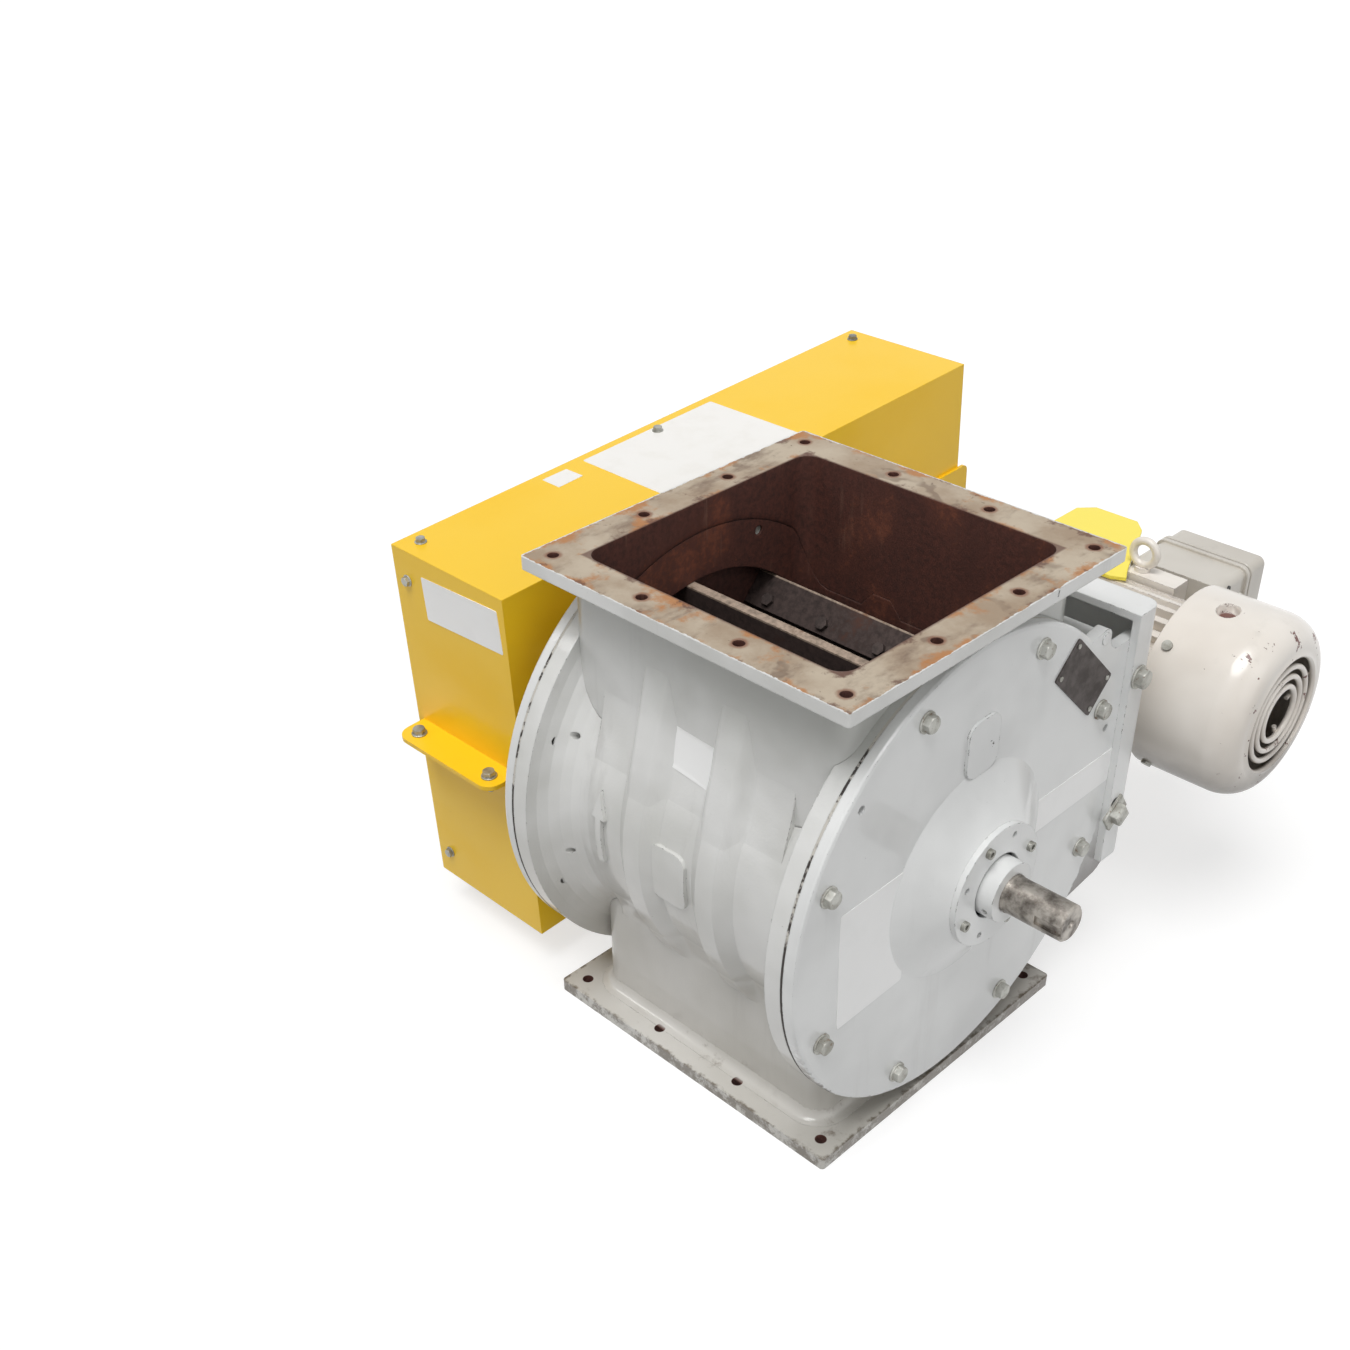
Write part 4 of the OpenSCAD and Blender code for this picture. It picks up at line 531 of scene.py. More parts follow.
# %% Finish of the guard
def powder_coat(name, colour, shade, scratch=tint(150, 116, 40)):
    """Gloss yellow: orange peel bump, faint smears that dull the gloss, and rubbed edges."""
    f = Finish(name, Coat_Weight=0.12, Coat_Roughness=0.1, Specular_IOR_Level=0.3)
    rounded = round_off(f, 1.2 * MM)
    edges = edge_mask(f, rounded)
    peel = noise(f, 420, 2, 0.5)
    smear = noise(f, 5, 4, 0.55, stretch=(1, 1, 2.2))
    speck = noise(f, 70, 6, 0.75, shift=5.0)
    paint = blend(f, band(f, smear, 0.42, 0.72) * 0.45, colour, shade)
    dust = band(f, speck, 0.70, 0.75) * 0.45
    paint = blend(f, dust, paint, scratch)
    rubbed = band(f, speck + edges * 0.14, 0.78, 0.80)
    paint = blend(f, rubbed, paint, tint(96, 74, 44))
    rough = 0.30 + band(f, smear, 0.4, 0.75) * 0.15 + dust * 0.3
    return f.feed(Base_Color=paint, Roughness=rough, Normal=relief(f, peel, 0.05 * MM, rounded))


guard_finish = powder_coat("guard_powder_coat", tint(255, 208, 34), tint(250, 198, 26))
# The reducer's guard plate takes a lighter copy of the guard's yellow: painted light on its up-facing top.
yellow_with_painted_light = powder_coat("plate_powder_coat_painted_light", tint(255, 236, 92), tint(250, 226, 66))
print("yellow:", guard_finish.name, yellow_with_painted_light.name)

# %% [markdown]
# ## Metals
#
# Zinc fasteners dull to a cloudy grey with white bloom, and turned shafts show fine rings and a
# brown film. One recipe covers both: a tone noise, rings along the turning axis, and rust specks.

# %% Finish of steel parts
def steel(name, bright, dull, rough, rings=0.0, specks=0.3, metallic=0.85,
          speck_colour=tint(92, 58, 38)):
    """Steel whose tone drifts from bright to dull, with turned rings along X and brown specks."""
    f = Finish(name)
    tone = noise(f, 60, 5, 0.6)
    speck = noise(f, 300, 5, 0.7, shift=2.6)
    turned = noise(f, 1, 2, 0.6, stretch=(2600, 3, 3))
    spots = band(f, speck + tone * 0.3, 0.93 - 0.25 * specks, 0.99 - 0.25 * specks)
    colour = blend(f, band(f, tone, 0.35, 0.68), bright, dull)
    colour = blend(f, spots * 0.85, colour, speck_colour)
    return f.feed(Base_Color=colour, Roughness=rough + tone * 0.25 + spots * 0.3,
                  Metallic=metallic - spots * 0.7,
                  Normal=relief(f, speck * 0.6 + turned * rings * 2, 0.05 * MM, round_off(f, 0.5 * MM)))


zinc = steel("dull_zinc", tint(178, 178, 172), tint(128, 126, 118), 0.38, specks=0.45)
shaft_steel = steel("turned_shaft", tint(178, 172, 164), tint(92, 86, 80), 0.26, rings=1.0, specks=0.5)
gear_steel = steel("cut_gear_steel", tint(150, 150, 150), tint(116, 116, 118), 0.3, rings=0.3, specks=0.1)
bearing_steel = steel("ground_bearing_steel", tint(196, 198, 202), tint(160, 162, 166), 0.16, specks=0.0)
sheave_iron = steel("phosphated_iron", tint(84, 84, 86), tint(58, 58, 60), 0.5, rings=0.4, specks=0.2,
                    metallic=0.6)
print("steels made")

# %% Finish of rusty rotor parts
def rusty(name, skin, bloom, scuff, amount, metallic=0.2):
    """Rust all over, on the recipe above."""
    f = Finish(name, Metallic=metallic)
    colour, rough, height = rust(f, skin, bloom, scuff, amount)
    return f.feed(Base_Color=colour, Roughness=rough,
                  Normal=relief(f, height, 0.4 * MM, round_off(f, 1 * MM)))


vane_rust = rusty("vane_rust", tint(78, 66, 62), tint(84, 58, 48), tint(100, 88, 82), 0.15, 0.1)


def tip_finish():
    """The vanes' rust, scraped to tan metal on the edge that runs close to the bore."""
    f = Finish("worn_tip_bar", Metallic=0.2)
    x, y, z = axes(f)
    radius = length_of(f, Y=y, Z=z - AXIS_Z)
    colour, rough, height = rust(f, tint(74, 60, 56), tint(84, 56, 46), tint(96, 84, 78), 0.15)
    worn, _, _ = rust(f, tint(186, 166, 148), tint(150, 116, 94), tint(204, 190, 176), 0.2)
    edge = band(f, radius, 175 * MM, 176 * MM)
    return f.feed(Base_Color=blend(f, edge, colour, worn), Roughness=rough,
                  Normal=relief(f, height, 0.3 * MM, round_off(f, 1 * MM)))


tip_wear = tip_finish()
winding = rusty("stator_varnish", tint(104, 56, 34), tint(84, 40, 24), tint(130, 80, 52), 0.4)
print("rotor finishes made")

# %% [markdown]
# ## Soft and moulded parts
#
# Belts, gaskets and mouldings are dark and matte. A woven face, a little dust and a soft edge
# keep them from looking like holes.

# %% Finish of rubber, plastic and packing
def dark_soft(name, colour, dust, rough=0.7, grain=500):
    """Matte dark stuff with fine grain and dust in broad patches."""
    f = Finish(name)
    fine = noise(f, grain, 4, 0.6)
    broad = noise(f, 25, 4, 0.6, shift=6.1)
    cover = band(f, broad + fine * 0.2, 0.55, 0.8)
    return f.feed(Base_Color=blend(f, cover * 0.5, colour, dust), Roughness=rough + fine * 0.2,
                  Normal=relief(f, fine, 0.08 * MM, round_off(f, 0.6 * MM)))


belt_cloth = dark_soft("belt_cloth", tint(34, 34, 36), tint(96, 92, 86), 0.75, 900)
black_rubber = dark_soft("gasket_rubber", tint(26, 26, 26), tint(70, 66, 60), 0.7)
black_plastic = dark_soft("moulded_black", tint(30, 30, 31), tint(80, 78, 74), 0.45, 240)


def painted_over(name):
    """A gasket edge painted with its casting: white, broken by dark gaps that grow towards the bottom."""
    f = Finish(name)
    x, y, z = axes(f)
    gaps = noise(f, 34, 6, 0.7, shift=1.1) + (1 - band(f, z - AXIS_Z, -150 * MM, 150 * MM)) * 0.22
    return f.feed(Base_Color=blend(f, band(f, gaps, 0.50, 0.56), tint(196, 192, 184), tint(40, 32, 28)),
                  Roughness=0.5 + gaps * 0.2)


painted_gasket = painted_over("painted_gasket")
packing_braid = dark_soft("packing_braid", tint(158, 146, 112), tint(110, 100, 80), 0.8, 700)
plate_metal = steel("tarnished_plate", tint(86, 80, 78), tint(64, 58, 56), 0.42, specks=0.3, metallic=0.7)
print("soft finishes made")

# %% [markdown]
# ## Giving each CAD node its finish
#
# The record says which material slot each node takes, so most finishes are handed out by slot.
# A few nodes that share a slot look different on the real thing, and those are named.

# %% Hand out the finishes
BY_SLOT = {
    "housing_paint": housing_finish, "plate_paint": plate_finish, "guard_yellow": guard_finish,
    "motor_cream": motor_finish, "zinc_fastener": zinc, "bearing_steel": bearing_steel,
    "shaft_steel": shaft_steel, "rotor_iron": vane_rust, "tip_bar": tip_wear,
    "sheave_iron": sheave_iron, "belt_rubber": belt_cloth, "gasket_black": black_rubber,
    "packing": packing_braid, "nameplate_metal": plate_metal, "winding": winding,
    "black_plastic": black_plastic, "gear_steel": gear_steel,
    "label_white": plate_finish,
}
BY_NODE = {"motor_plate": fold_finish, "reducer_guard_plate": yellow_with_painted_light, "tip_bolts": vane_rust,
           "end_plate_gaskets": painted_gasket}
slot_of = {s["node"]: s["material_slot"] for s in frame["record"]["subparts"]}


def dress(obj, material):
    """Gives every material slot of a mesh object the same finish."""
    if not obj.material_slots:
        obj.data.materials.append(material)
    for place in obj.material_slots:
        place.material = material


for name, obj in nodes.items():
    dress(obj, BY_NODE.get(name, BY_SLOT[slot_of[name]]))
print("dressed", len(nodes), "nodes")

# %% [markdown]
# ## Surfaces from arrays
#
# Every added piece is a grid of points worked out with numpy. A row of the grid is a closed
# outline, and the rows follow each other from one end of the piece to the other. Joining each
# point to its neighbours gives quads, and the first and last outlines are filled, so the piece
# is closed and its volume has a sign that tells whether the faces point outwards.

# %% From a grid of points to a piece
def surface(name, rows, material, body, hoop=False):
    """Quads between closed outlines rows[i, j], with the first and last filled or, in a hoop, joined."""
    return surfaces(name, [rows], material, body, hoop)


def surfaces(name, blocks, material, body, hoop=False):
    """Several such closed blocks in one mesh, faces outwards, edges over 35 degrees sharp."""
    points, faces, base = [], [], 0
    for rows in blocks:
        rows = np.asarray(rows, float)
        count, around = rows.shape[:2]
        index = base + np.arange(count * around).reshape(count, around)
        if hoop:
            index = np.concatenate([index, index[:1]])
        nxt = np.roll(index, -1, axis=1)
        quads = np.stack([index[:-1], nxt[:-1], nxt[1:], index[1:]], -1).reshape(-1, 4)
        points.append(rows.reshape(-1, 3))
        faces += quads.tolist()
        if not hoop:
            faces += [index[0][::-1].tolist(), index[-1].tolist()]
        base += count * around
    mesh = bpy.data.meshes.new(name)
    mesh.from_pydata(np.concatenate(points).tolist(), [], faces)
    mesh.update()
    work = bmesh.new()
    work.from_mesh(mesh)
    bmesh.ops.recalc_face_normals(work, faces=work.faces)
    work.to_mesh(mesh)
    work.free()
    mesh.polygons.foreach_set("use_smooth", [True] * len(mesh.polygons))
    piece = bpy.data.objects.new(name, mesh)
    bpy.context.scene.collection.objects.link(piece)
    mesh.set_sharp_from_angle(angle=math.radians(35))
    mesh.materials.append(material)
    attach(piece, body)
    return piece


def corner_normals(per_corner=6):
    """Outward normals round the quarter circles of a rectangle's corners, from the lower right."""
    quarters = np.pi / 2 * np.arange(-1, 3)
    angles = np.concatenate([np.linspace(q, q + np.pi / 2, per_corner) for q in quarters])
    return np.stack([np.cos(angles), np.sin(angles)], -1)


def rounded_outline(width, height, radius, per_corner=6):
    """Points round a rectangle whose corners are quarter circles, anticlockwise from the lower right."""
    side = np.repeat([(1, -1), (1, 1), (-1, 1), (-1, -1)], per_corner, axis=0)
    return side * (width / 2 - radius, height / 2 - radius) + radius * corner_normals(per_corner)


print("an outline of", len(rounded_outline(0.1, 0.05, 0.004)), "points")

# %% [markdown]
# ## Blank stickers
#
# The valve and its guard wear stickers. Here they are blank: what matters is that each is a thin
# sheet of its own, follows the surface under it, lifts a little at a corner and is greyed in faint
# clouds. The sheet is a stack of shrinking outlines, and its height over the surface is the film's
# thickness plus a curl that grows with the fourth power of the distance from the middle.

# %% Sticker film
def film(name, colour, edge_dirt, rough=0.35):
    """Vinyl or paper: faint clouds, dirt specks and a weak ripple."""
    f = Finish(name, Coat_Weight=0.3, Coat_Roughness=0.15)
    cloud = noise(f, 30, 4, 0.6)
    speck = noise(f, 160, 6, 0.75, shift=1.7)
    paint = blend(f, band(f, cloud, 0.45, 0.75) * 0.25, colour, edge_dirt)
    paint = blend(f, band(f, speck, 0.70, 0.75) * 0.5, paint, tint(150, 140, 124))
    return f.feed(Base_Color=paint, Roughness=rough + speck * 0.15,
                  Normal=relief(f, cloud, 0.3 * MM))


paper = film("label_paper", tint(246, 244, 240), tint(228, 224, 214))
vinyl = film("label_vinyl", tint(252, 252, 251), tint(240, 240, 238), 0.25)


def sticker(name, place, width, height, material, turn=0.0, corner=3 * MM, thick=0.25 * MM, curl=0.6 * MM):
    """A sheet over place(a, b, lift), which gives the point at a across, b up and lift off the surface."""
    outline = rounded_outline(width, height, corner)
    rings = np.array([1.0, 1.0, 0.985, 0.93, 0.8, 0.6, 0.35, 0.1])
    flat = outline[None] * rings[:, None, None]
    cosine, sine = math.cos(turn), math.sin(turn)
    a = flat[..., 0] * cosine - flat[..., 1] * sine
    b = flat[..., 0] * sine + flat[..., 1] * cosine
    across = (flat[..., 0] / (width / 2)) * (flat[..., 1] / (height / 2))
    lift = thick + curl * np.clip(across, 0, None) ** 4
    lift[0] = 0.02 * MM
    return surface(name, place(a, b, lift), material, "frame")


def on_line(x, u, w):
    """A point of the guard's own frame: u along the line of centres from the rotor axis, w square to it."""
    x, u, w = np.broadcast_arrays(x, u, w)
    return np.stack([x, u * math.cos(LINE_TILT) - w * math.sin(LINE_TILT),
                     AXIS_Z + u * math.sin(LINE_TILT) + w * math.cos(LINE_TILT)], -1)


GUARD_TOP, GUARD_NEAR = 208.5 * MM, -182 * MM
sticker("guard_top_sheet", lambda a, b, h: on_line(-318 * MM + a, 166 * MM + b, GUARD_TOP + h),
        135 * MM, 197 * MM, paper, corner=2 * MM)
sticker("guard_top_tag", lambda a, b, h: on_line(-372 * MM + a, 26 * MM + b, GUARD_TOP + h),
        26 * MM, 34 * MM, paper, corner=1 * MM)
sticker("guard_side_label", lambda a, b, h: on_line(-294 * MM + a, GUARD_NEAR - h, 166 * MM + b),
        117 * MM, 48 * MM, vinyl, turn=0.05, corner=2 * MM)
print("guard stickers laid")

# %% Stickers on the end plate, and the barrel's line
def on_plate(y, z):
    """Places of a sheet on the outboard end plate round (y, z)."""
    return lambda a, b, h: np.stack([PLATE_X + h, y + a, z + b], -1)


def barrel_radius(x):
    """Outside radius of the barrel at x: straight, with two ribs that rise over short ramps."""
    out = np.abs(np.abs(x) - RIB_X)
    return BARREL_R + np.interp(out, [0, 11 * MM, 15 * MM, 26 * MM], [11 * MM, 11 * MM, 8.25 * MM, 0])


sticker("plate_strip_label", on_plate(160 * MM, 262 * MM), 152 * MM, 38 * MM, vinyl)
sticker("plate_large_label", on_plate(-135 * MM, 246 * MM), 91 * MM, 130 * MM, vinyl, turn=0.02)
print("casting stickers laid")

# %% [markdown]
# ## Bolt heads
#
# A real hex head is a hexagonal bar whose corners a lathe has cut to a shallow cone, sitting on
# a round washer. The distance from a hexagon's middle to its side is the flat's half width
# divided by the cosine of the angle from the flat's middle. Taking the smaller of that and a
# cone that shrinks towards the top gives the chamfered corners. No two bolts stop at the same
# turn, so each head gets an angle of its own.

# %% Shapes of fasteners
AROUND = np.linspace(0, 2 * np.pi, 36, endpoint=False)


def ring_rows(radii, heights):
    """Round outlines of these radii at these heights above a seat."""
    radii, heights = np.asarray(radii, float)[:, None], np.asarray(heights, float)[:, None]
    return np.stack(np.broadcast_arrays(radii * np.cos(AROUND), radii * np.sin(AROUND), heights), -1)


def hex_rows(flats, height, base, turn, both_ends=False):
    """A hexagonal head, flats wide, from base up by height, its corners cut by a cone at the top."""
    share = np.array([0, 0.02, 0.55, 0.8, 0.93, 1.0, 1.0])
    inward = np.array([0, 0, 0, 0.05, 0.11, 0.16, 0.45]) * flats
    if both_ends:
        share = np.array([0, 0, 0.07, 0.2, 0.8, 0.93, 1, 1])
        inward = np.array([0.45, 0.16, 0.11, 0.05, 0.05, 0.11, 0.16, 0.45]) * flats
    sector = (AROUND + np.pi / 6) % (np.pi / 3) - np.pi / 6
    hexagon = flats / 2 / np.cos(sector)
    cone = flats / math.sqrt(3) + 0.02 * flats - inward * 0.5
    radius = np.minimum(hexagon[None], cone[:, None])
    radius[inward > 0.4 * flats] *= 0.5
    heights = base + share * height
    return np.stack([radius * np.cos(AROUND + turn), radius * np.sin(AROUND + turn),
                     np.repeat(heights[:, None], len(AROUND), 1)], -1)


def seat(rows, origin, axis):
    """Rows drawn with Z as the bolt's axis, moved to origin with Z turned to axis."""
    turn = np.array(Vector((0, 0, 1)).rotation_difference(Vector(axis)).to_matrix())
    return rows @ turn.T + np.array(origin)


def bolt(origin, axis, size, shank, turn, washer=True):
    """Blocks of one bolt whose washer lies at origin: washer, chamfered head and shank."""
    t = 0.2 * size if washer else 0.0
    blocks = [seat(hex_rows(1.5 * size, 0.65 * size, t, turn), origin, axis),
              seat(ring_rows([size / 2] * 2, [-shank, t + 0.1 * size]), origin, axis)]
    if washer:
        r = 1.05 * size
        disc = ring_rows([r - 0.04 * size, r, r, r - 0.06 * size], [0, 0.04 * size, 0.15 * size, t])
        blocks.append(seat(disc, origin, axis))
    return blocks


def nut(origin, axis, size, height, turn):
    """A nut from origin along axis, chamfered at both ends."""
    return seat(hex_rows(1.5 * size, height, 0.0, turn, both_ends=True), origin, axis)


print("a head has", hex_rows(0.015, 0.0065, 0, 0).shape, "points")

# %% The sixteen end plate bolts
painted_zinc = steel("paint_flecked_zinc", tint(196, 196, 190), tint(150, 148, 140), 0.42, specks=0.75,
                     metallic=0.55, speck_colour=tint(120, 96, 78))
PLATE_BOLT_RING = 216 * MM
turns = np.random.default_rng(3)
blocks = []
for side in (1, -1):
    for k in range(8):
        angle = math.radians(22.5 + 45 * k)
        at = (side * (PLATE_X + 0.02 * MM), PLATE_BOLT_RING * math.cos(angle),
              AXIS_Z + PLATE_BOLT_RING * math.sin(angle))
        blocks += bolt(at, (side, 0, 0), 10 * MM, 30 * MM, turns.uniform(0, 1))
heads = surfaces("end_plate_bolt_set", blocks, painted_zinc, "frame")
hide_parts("end_plate_bolts")
print(len(blocks), "bolt solids")

# %% [markdown]
# ## The fan cowl
#
# A pressed cowl is a surface of revolution: a profile of distance from the shaft against place
# along it, turned a full circle. Its outside runs straight, rolls over a large corner, and turns
# in at the grille with a bead. Its inside is the same line set back by the sheet. Near its top
# is an oval well, made by pulling the grid towards the shaft inside an ellipse. The
# columns of the grid are packed closer there, so the well's rim is crisp. The grille is three
# hoops of round bar on four spokes.

# %% Shell, grille and well
COWL_R = (cowl_hi.z - cowl_lo.z) / 2
COWL_BACK, COWL_FACE = cowl_lo.x, cowl_hi.x
GRILLE_R = 62 * MM
COWL_SHEET = 2.5 * MM
WELL = (math.radians(97), 203 * MM)


def turned(places, radii, angles):
    """Points of a profile (place along the drive axis, radius) turned by each angle about that axis."""
    places, radii, angles = np.asarray(places)[:, None], np.asarray(radii)[:, None], np.asarray(angles)[None]
    places, radii, angles = np.broadcast_arrays(places, radii, angles)
    return np.stack([places, drive_axis.y + radii * np.cos(angles),
                     drive_axis.z + radii * np.sin(angles)], -1)


def cowl_profile(skin):
    """The cowl's line, skin inside its face: straight, a quarter ellipse, a flat, a bead at the grille."""
    along = np.concatenate([np.linspace(0, 24, 5), np.linspace(28, 60, 28)]) * MM
    corner = np.radians(np.linspace(0, 90, 16)[1:])
    bead = np.radians(np.linspace(90, -60, 8)[1:])
    long, short, bead_r = 36 * MM, 28 * MM, 4 * MM
    places = np.concatenate([
        COWL_BACK + along, COWL_FACE - 2 * MM - long + (long - skin) * np.sin(corner),
        [COWL_FACE - 2 * MM - skin], COWL_FACE - bead_r + (bead_r - skin) * np.sin(bead)])
    radii = np.concatenate([
        np.full(len(along), COWL_R - skin), COWL_R - short + (short - skin) * np.cos(corner),
        [GRILLE_R + 7 * MM], GRILLE_R + bead_r - (bead_r - skin) * np.cos(bead)])
    return places, radii


def with_well(places, radii, angles):
    """The turned profile, with points inside the well's ellipse pulled 9 mm towards the shaft."""
    across = (places[:, None] - WELL[1]) / (11.5 * MM)
    round_it = (angles[None] - WELL[0]) * COWL_R / (13 * MM)
    near = np.clip((1.0 - np.hypot(across, round_it)) / 0.14, 0, 1)
    sunk = np.where(radii[:, None] > 80 * MM, near * near * (3 - 2 * near) * 9 * MM, 0)
    points = turned(places, radii, angles)
    pull = sunk / radii[:, None]
    points[..., 1] += (drive_axis.y - points[..., 1]) * pull
    points[..., 2] += (drive_axis.z - points[..., 2]) * pull
    return points


angles = np.unique(np.concatenate([np.linspace(0, 2 * np.pi, 121)[:-1],
                                   WELL[0] + np.radians(np.linspace(-9, 9, 46))]))
outer, inner = cowl_profile(0.0), cowl_profile(COWL_SHEET)
shell = np.concatenate([with_well(*outer, angles), with_well(*inner, angles)[::-1]])
hoops = []
for r in (30, 41, 52):
    bar = np.radians(np.linspace(0, 360, 13)[:-1])
    hoops.append(turned(COWL_FACE - 5 * MM + 3.2 * MM * np.cos(bar), r * MM + 3.2 * MM * np.sin(bar),
                        np.linspace(0, 2 * np.pi, 73)[:-1]))
print("cowl grid", shell.shape, "hoops", len(hoops))

# %% Paint of the motor, chipped to red primer
WELL_FLOOR = (WELL[1], drive_axis.y + (COWL_R - 7 * MM) * math.cos(WELL[0]),
              drive_axis.z + (COWL_R - 7 * MM) * math.sin(WELL[0]))


def motor_paint(name, low_darkening):
    """Cream enamel with red primer chips that crowd towards the cowl's face, the well's floor painted dark as
    painted shade, and an underside that is darker towards the bottom.
    """
    f = Finish(name, Coat_Weight=0.5, Coat_Roughness=0.1)
    x, y, z = axes(f)
    paint, rough, height, rounded = enamel_layers(
        f, CREAM, CREAM_SHADE, tint(84, 42, 34), radius=1.5 * MM, wear=0.7, cast=0.3, dirt=0.15)
    towards_face = band(f, x, 190 * MM, 285 * MM)
    well = f.node("VectorMath", {"operation": "DISTANCE"}, {0: f.place, 1: WELL_FLOOR}, out="Value")
    blotch = noise(f, 46, 6, 0.7, stretch=(0.6, 1, 1), shift=9.4)
    # Chips of red primer, and the well's floor painted dark within 11 mm of its lowest point as painted shade in
    # the recess.
    flakes_and_well_shade = larger(f, band(f, blotch + towards_face * 0.085, 0.705, 0.715),
                    1 - band(f, well, 8 * MM, 11 * MM))
    paint = blend(f, flakes_and_well_shade, paint, tint(104, 62, 54))
    # The colour is darker towards the bottom, under the drive axis.
    under = band(f, (drive_axis.z - z) + noise(f, 30, 4) * 20 * MM, 38 * MM, 92 * MM) * low_darkening
    paint = blend(f, under, paint, tint(88, 76, 62))
    return f.feed(Base_Color=paint, Roughness=rough + flakes_and_well_shade * 0.2 + under * 0.2,
                  Normal=relief(f, height - flakes_and_well_shade * 0.8, 0.3 * MM, rounded))


cowl_paint = motor_paint("cowl_enamel", 0.75)
cowl = surfaces("cowl_shell", [shell] + hoops, cowl_paint, "frame", hoop=True)
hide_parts("fan_cowl")
spoke_ends = np.array([22, 24, 62, 65]) * MM
spokes = []
for k in range(4):
    a = math.radians(20 + 90 * k)
    out = np.array([0, math.cos(a), math.sin(a)])
    side = np.array([0, -math.sin(a), math.cos(a)])
    ring = np.radians(np.linspace(0, 360, 9)[:-1])
    section = 2.6 * MM * (np.cos(ring)[:, None] * side + np.sin(ring)[:, None] * np.array([1, 0, 0]))
    centre = np.array([COWL_FACE - 9 * MM, drive_axis.y, drive_axis.z])
    spokes.append(centre + spoke_ends[:, None, None] * out + section[None])
surfaces("cowl_spokes", spokes, cowl_paint, "frame")
# Both halves of the terminal box take the darker cream, which is painted shade.
for name in ("terminal_box", "terminal_box_lid"):
    dress(nodes[name], box_shaded_finish)
print("cowl done")

# %% [markdown]
# ## The other fasteners
#
# The same bolt blocks serve everywhere. Each row of places below repeats the pattern its
# fasteners have on the part, and the piece takes the plain CAD fasteners' place.

# %% Bolts of the guard
GUARD_FAR = 526 * MM
EAR_BOLT = 20.9 * MM
COVER_BOLT_X = -377 * MM
ACROSS_LINE = on_line(0, 0, 1.0) - on_line(0, 0, 0.0)
ALONG_LINE = on_line(0, 1.0, 0) - on_line(0, 0.0, 0)
blocks = []
for x in (-369 * MM, -255 * MM):
    for u in (GUARD_NEAR - EAR_BOLT, GUARD_FAR + EAR_BOLT):
        blocks += bolt(on_line(x, u, 2.5 * MM), ACROSS_LINE, 8 * MM, 17 * MM, turns.uniform(0, 1))
        blocks.append(nut(on_line(x, u, -2.5 * MM), -ACROSS_LINE, 8 * MM, 7 * MM, turns.uniform(0, 1)))
for flip in (1, -1):
    for u in (-160 * MM, 172 * MM, 504 * MM):
        blocks += bolt(on_line(COVER_BOLT_X, u, flip * GUARD_TOP), ACROSS_LINE * flip,
                       6 * MM, 8 * MM, turns.uniform(0, 1))
    for u, out in ((GUARD_NEAR, -ALONG_LINE), (GUARD_FAR, ALONG_LINE)):
        blocks += bolt(on_line(COVER_BOLT_X, u, flip * (GUARD_TOP - 34 * MM)), out,
                       6 * MM, 8 * MM, turns.uniform(0, 1))
guard_set = surfaces("guard_bolt_set", blocks, zinc, "frame")
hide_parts("guard_bolts")
print(len(blocks), "solids hold the guard")

# %% Bolts of the motor plate and the reducer's foot
def box_rows(half_a, half_b, low, high, edge, turn):
    """A rectangular head from low to high with its top edges cut by edge."""
    rows = [rounded_outline(2 * half_a - s, 2 * half_b - s, 1 * MM, 3) for s in (0, 0, 2 * edge)]
    spin = np.array([[math.cos(turn), math.sin(turn)], [-math.sin(turn), math.cos(turn)]])
    return np.stack([np.column_stack([row @ spin, np.full(len(row), h)])
                     for row, h in zip(rows, (low, high - edge, high))])


FOLD_X = 194.5 * MM
blocks = []
for side in (1, -1):
    pivot = np.array([side * FOLD_X, 248.1 * MM, AXIS_Z + 101.2 * MM])
    clamp = np.array([side * FOLD_X, 245.1 * MM, AXIS_Z - 58.4 * MM])
    out = np.array([side, 0.0, 0.0])
    blocks += bolt(pivot, out, 12 * MM, 34 * MM, turns.uniform(0, 1))
    blocks.append(seat(box_rows(12 * MM, 17 * MM, 0, 3 * MM, 0.5 * MM, 0.6 * side), clamp, out))
    blocks.append(seat(box_rows(9 * MM, 9 * MM, 3 * MM, 12 * MM, 1.5 * MM, 0.6 * side), clamp, out))
    blocks.append(seat(ring_rows([6 * MM] * 2, [-36 * MM, 0.5 * MM]), clamp, out))
    for point in (pivot, clamp):
        blocks.append(nut(point - out * 20 * MM, -out, 12 * MM, 10 * MM, turns.uniform(0, 1)))
plate_set = surfaces("motor_plate_bolt_set", blocks, painted_zinc, "frame")
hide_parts("motor_plate_bolts")

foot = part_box("gear_foot_bolts")
blocks = []
for x in (foot[0].x + 10.4 * MM, foot[1].x - 10.4 * MM):
    for z in (foot[0].z + 10.4 * MM, foot[1].z - 10.4 * MM):
        blocks.append(nut((x, 264 * MM, z), (0, -1, 0), 12 * MM, 8 * MM, turns.uniform(0, 1)))
        blocks.append(nut((x, 288 * MM, z), (0, 1, 0), 12 * MM, 10 * MM, turns.uniform(0, 1)))
        blocks.append(seat(ring_rows([6 * MM] * 2, [0, 42 * MM]), (x, 257 * MM, z), (0, 1, 0)))
foot_set = surfaces("gear_foot_bolt_set", blocks, zinc, "frame")
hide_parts("gear_foot_bolts")
print("motor mount bolts made")

# %% [markdown]
# ## Casting fillets
#
# A casting has no sharp inside corners. Where each square neck meets its flange a fillet runs
# round the whole outline: its section is a corner with a concave quarter circle, carried along
# the outline and pushed outwards by the outline's own normal. Where a neck's long wall meets the
# barrel, the section is a Bezier curve whose middle handle is the corner itself. Over each rib
# the curve starts higher and its handle moves out, so the rib runs on up the wall as a ridge.

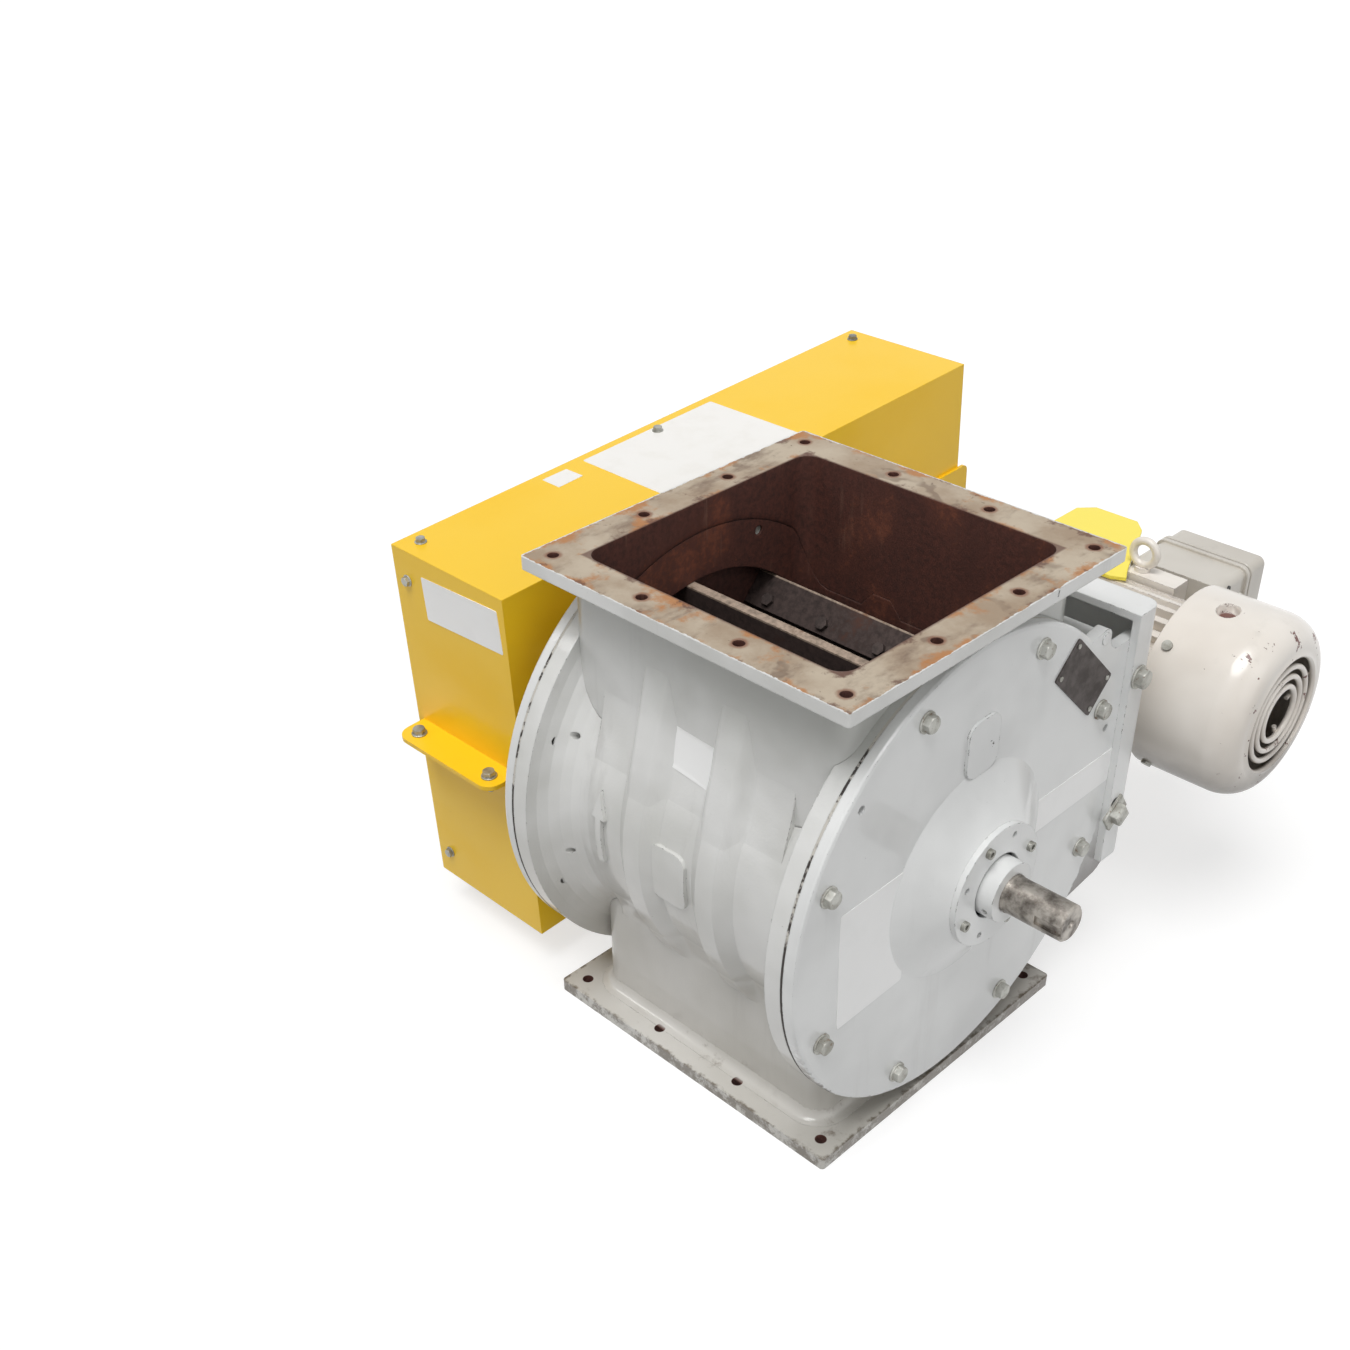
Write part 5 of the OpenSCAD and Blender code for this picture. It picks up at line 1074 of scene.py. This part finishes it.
# %% Fillets at the flanges
def flange_fillet(name, half, corner, z, up, radius):
    """A fillet round a square neck of this half width, on the flange face at z, rising by up (1 or -1)."""
    outline, normal = rounded_outline(2 * half, 2 * half, corner), corner_normals()
    phi = np.radians(np.linspace(0, 90, 7))
    out = np.concatenate([[-0.5 * MM], [radius], radius - radius * np.sin(phi), [-0.5 * MM]])
    rise = np.concatenate([[-0.5 * MM], [-0.5 * MM], radius - radius * np.cos(phi), [radius]])
    rows = np.concatenate([outline[:, None] + normal[:, None] * out[None, :, None],
                           np.broadcast_to(z + up * rise, (len(outline), len(out)))[..., None]], -1)
    return surface(name, rows, housing_finish, "frame", hoop=True)


flange_fillet("inlet_flange_fillet", NECK_Y, 24 * MM, TOP_Z - FLANGE_T, -1, 11 * MM)
flange_fillet("outlet_flange_fillet", FOOT_Y, 24 * MM, FLANGE_T, 1, 12 * MM)
print("flange fillets laid")

# %% Where the necks run into the barrel
INLET_REACH, INLET_CREST = 42 * MM, 46 * MM


def ease(value, low, high):
    """0 under low, 1 over high, and a smooth step between them."""
    t = np.clip((value - low) / (high - low), 0, 1)
    return t * t * (3 - 2 * t)


def neck_section(x, t, wall, reach, crest):
    """Distance out and height of the blend at x, t from 0 on the wall to 1 on the barrel."""
    rib = 1 - ease(np.abs(np.abs(x) - RIB_X), 12 * MM, 27 * MM)
    radius = barrel_radius(x) + 0.6 * MM - 1.1 * MM * ease(t, 0.8, 1.0)
    corner = np.arcsin(np.sqrt(BARREL_R ** 2 - wall ** 2) / BARREL_R)
    top = BARREL_R * np.sin(corner) + reach + rib * crest
    low = corner - reach / BARREL_R - rib * 0.05 * (crest > 0)
    end_out, end_up = radius * np.cos(low), radius * np.sin(low)
    crossing = end_up + (end_out - wall) / np.tan(low)
    mid_out = (1 - rib * 0.92) * wall + rib * 0.92 * (wall + end_out + 4 * MM) / 2
    mid_up = (1 - rib * 0.92) * crossing + rib * 0.92 * (top + end_up) / 2
    out = (1 - t) ** 2 * (wall - 0.3 * MM) + 2 * t * (1 - t) * mid_out + t ** 2 * end_out
    return out, (1 - t) ** 2 * top + 2 * t * (1 - t) * mid_up + t ** 2 * end_up


def neck_blend(name, wall, side, up, reach, crest):
    """The blend along X on one side, above (up = 1) or below the axis, closed inside the metal."""
    x = np.linspace(-118, 118, 119)[:, None] * MM
    out, rise = neck_section(x, np.linspace(0, 1, 21)[None], wall, reach, crest)
    deep = np.full(len(out), wall - 4 * MM)
    back_out = np.stack([out[:, -1] - 3 * MM, deep, deep], 1)
    back_up = np.stack([rise[:, -1] - 1 * MM, rise[:, -1] + 10 * MM, rise[:, 0] - 2 * MM], 1)
    out, rise = np.concatenate([out, back_out], 1), np.concatenate([rise, back_up], 1)
    rows = np.stack([np.broadcast_to(x, out.shape), side * out, AXIS_Z + up * rise], -1)
    return surface(name, rows, housing_finish, "frame")


for side, tag in ((-1, "near"), (1, "far")):
    neck_blend("inlet_blend_" + tag, NECK_Y, side, 1, INLET_REACH, INLET_CREST)
    neck_blend("outlet_blend_" + tag, FOOT_Y, side, -1, 24 * MM, 0.0)


def on_blend(x, t):
    """Places of a sheet on the near inlet blend round (x, t)."""
    def place(a, b, h):
        out, rise = neck_section(0 * a, np.clip(t - b / (92 * MM), 0, 1), NECK_Y, INLET_REACH, INLET_CREST)
        return np.stack([x + a, -out - h * 0.9 - 0.3 * MM, AXIS_Z + rise + h * 0.4], -1)
    return place


sticker("barrel_label", on_blend(1 * MM, 0.36), 58 * MM, 52 * MM, vinyl, turn=-0.10)
print("blends laid")

# %% [markdown]
# ## Terminal box rims
#
# Both halves of the box have a rim at their joint that stands a little proud, so the gasket
# shows as a dark line sunk between them. Each rim is a small rectangle with rounded outer
# corners, carried round the box.

# %% Rims of the terminal box
box_lo, box_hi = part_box("terminal_box")


def box_rim(name, y_low, y_high, proud):
    """A rim round the box between two places along Y."""
    size = (box_hi.x - box_lo.x, box_hi.z - box_lo.z)
    outline, normal = rounded_outline(*size, 8 * MM), corner_normals()
    out = np.array([-1, proud - 0.8, proud, proud, proud - 0.8, -1]) * MM
    y = np.array([y_low, y_low, y_low + 0.8 * MM, y_high - 0.8 * MM, y_high, y_high])
    flat = outline[:, None] + normal[:, None] * out[None, :, None]
    middle = ((box_lo.x + box_hi.x) / 2, (box_lo.z + box_hi.z) / 2)
    rows = np.stack([middle[0] + flat[..., 0], np.broadcast_to(y, flat.shape[:2]),
                     middle[1] + flat[..., 1]], -1)
    return surface(name, rows, box_shaded_finish, "frame", hoop=True)


box_rim("box_base_rim", box_hi.y - 6 * MM, box_hi.y, 3)
box_rim("box_lid_rim", box_hi.y + 2 * MM, box_hi.y + 8 * MM, 3)
dress(nodes["lifting_eye"], motor_finish)
plug = [seat(ring_rows(np.array([3.2, 4, 4, 1.6, 1.2]) * MM, np.array([-1, -1, 0.6, 0.6, -0.4]) * MM),
             (box_hi.x, box_lo.y + 21 * MM, box_hi.z - 9 * MM), (1, 0, 0))]
surfaces("box_entry_plug", plug, black_plastic, "frame")
print("box rims fitted")
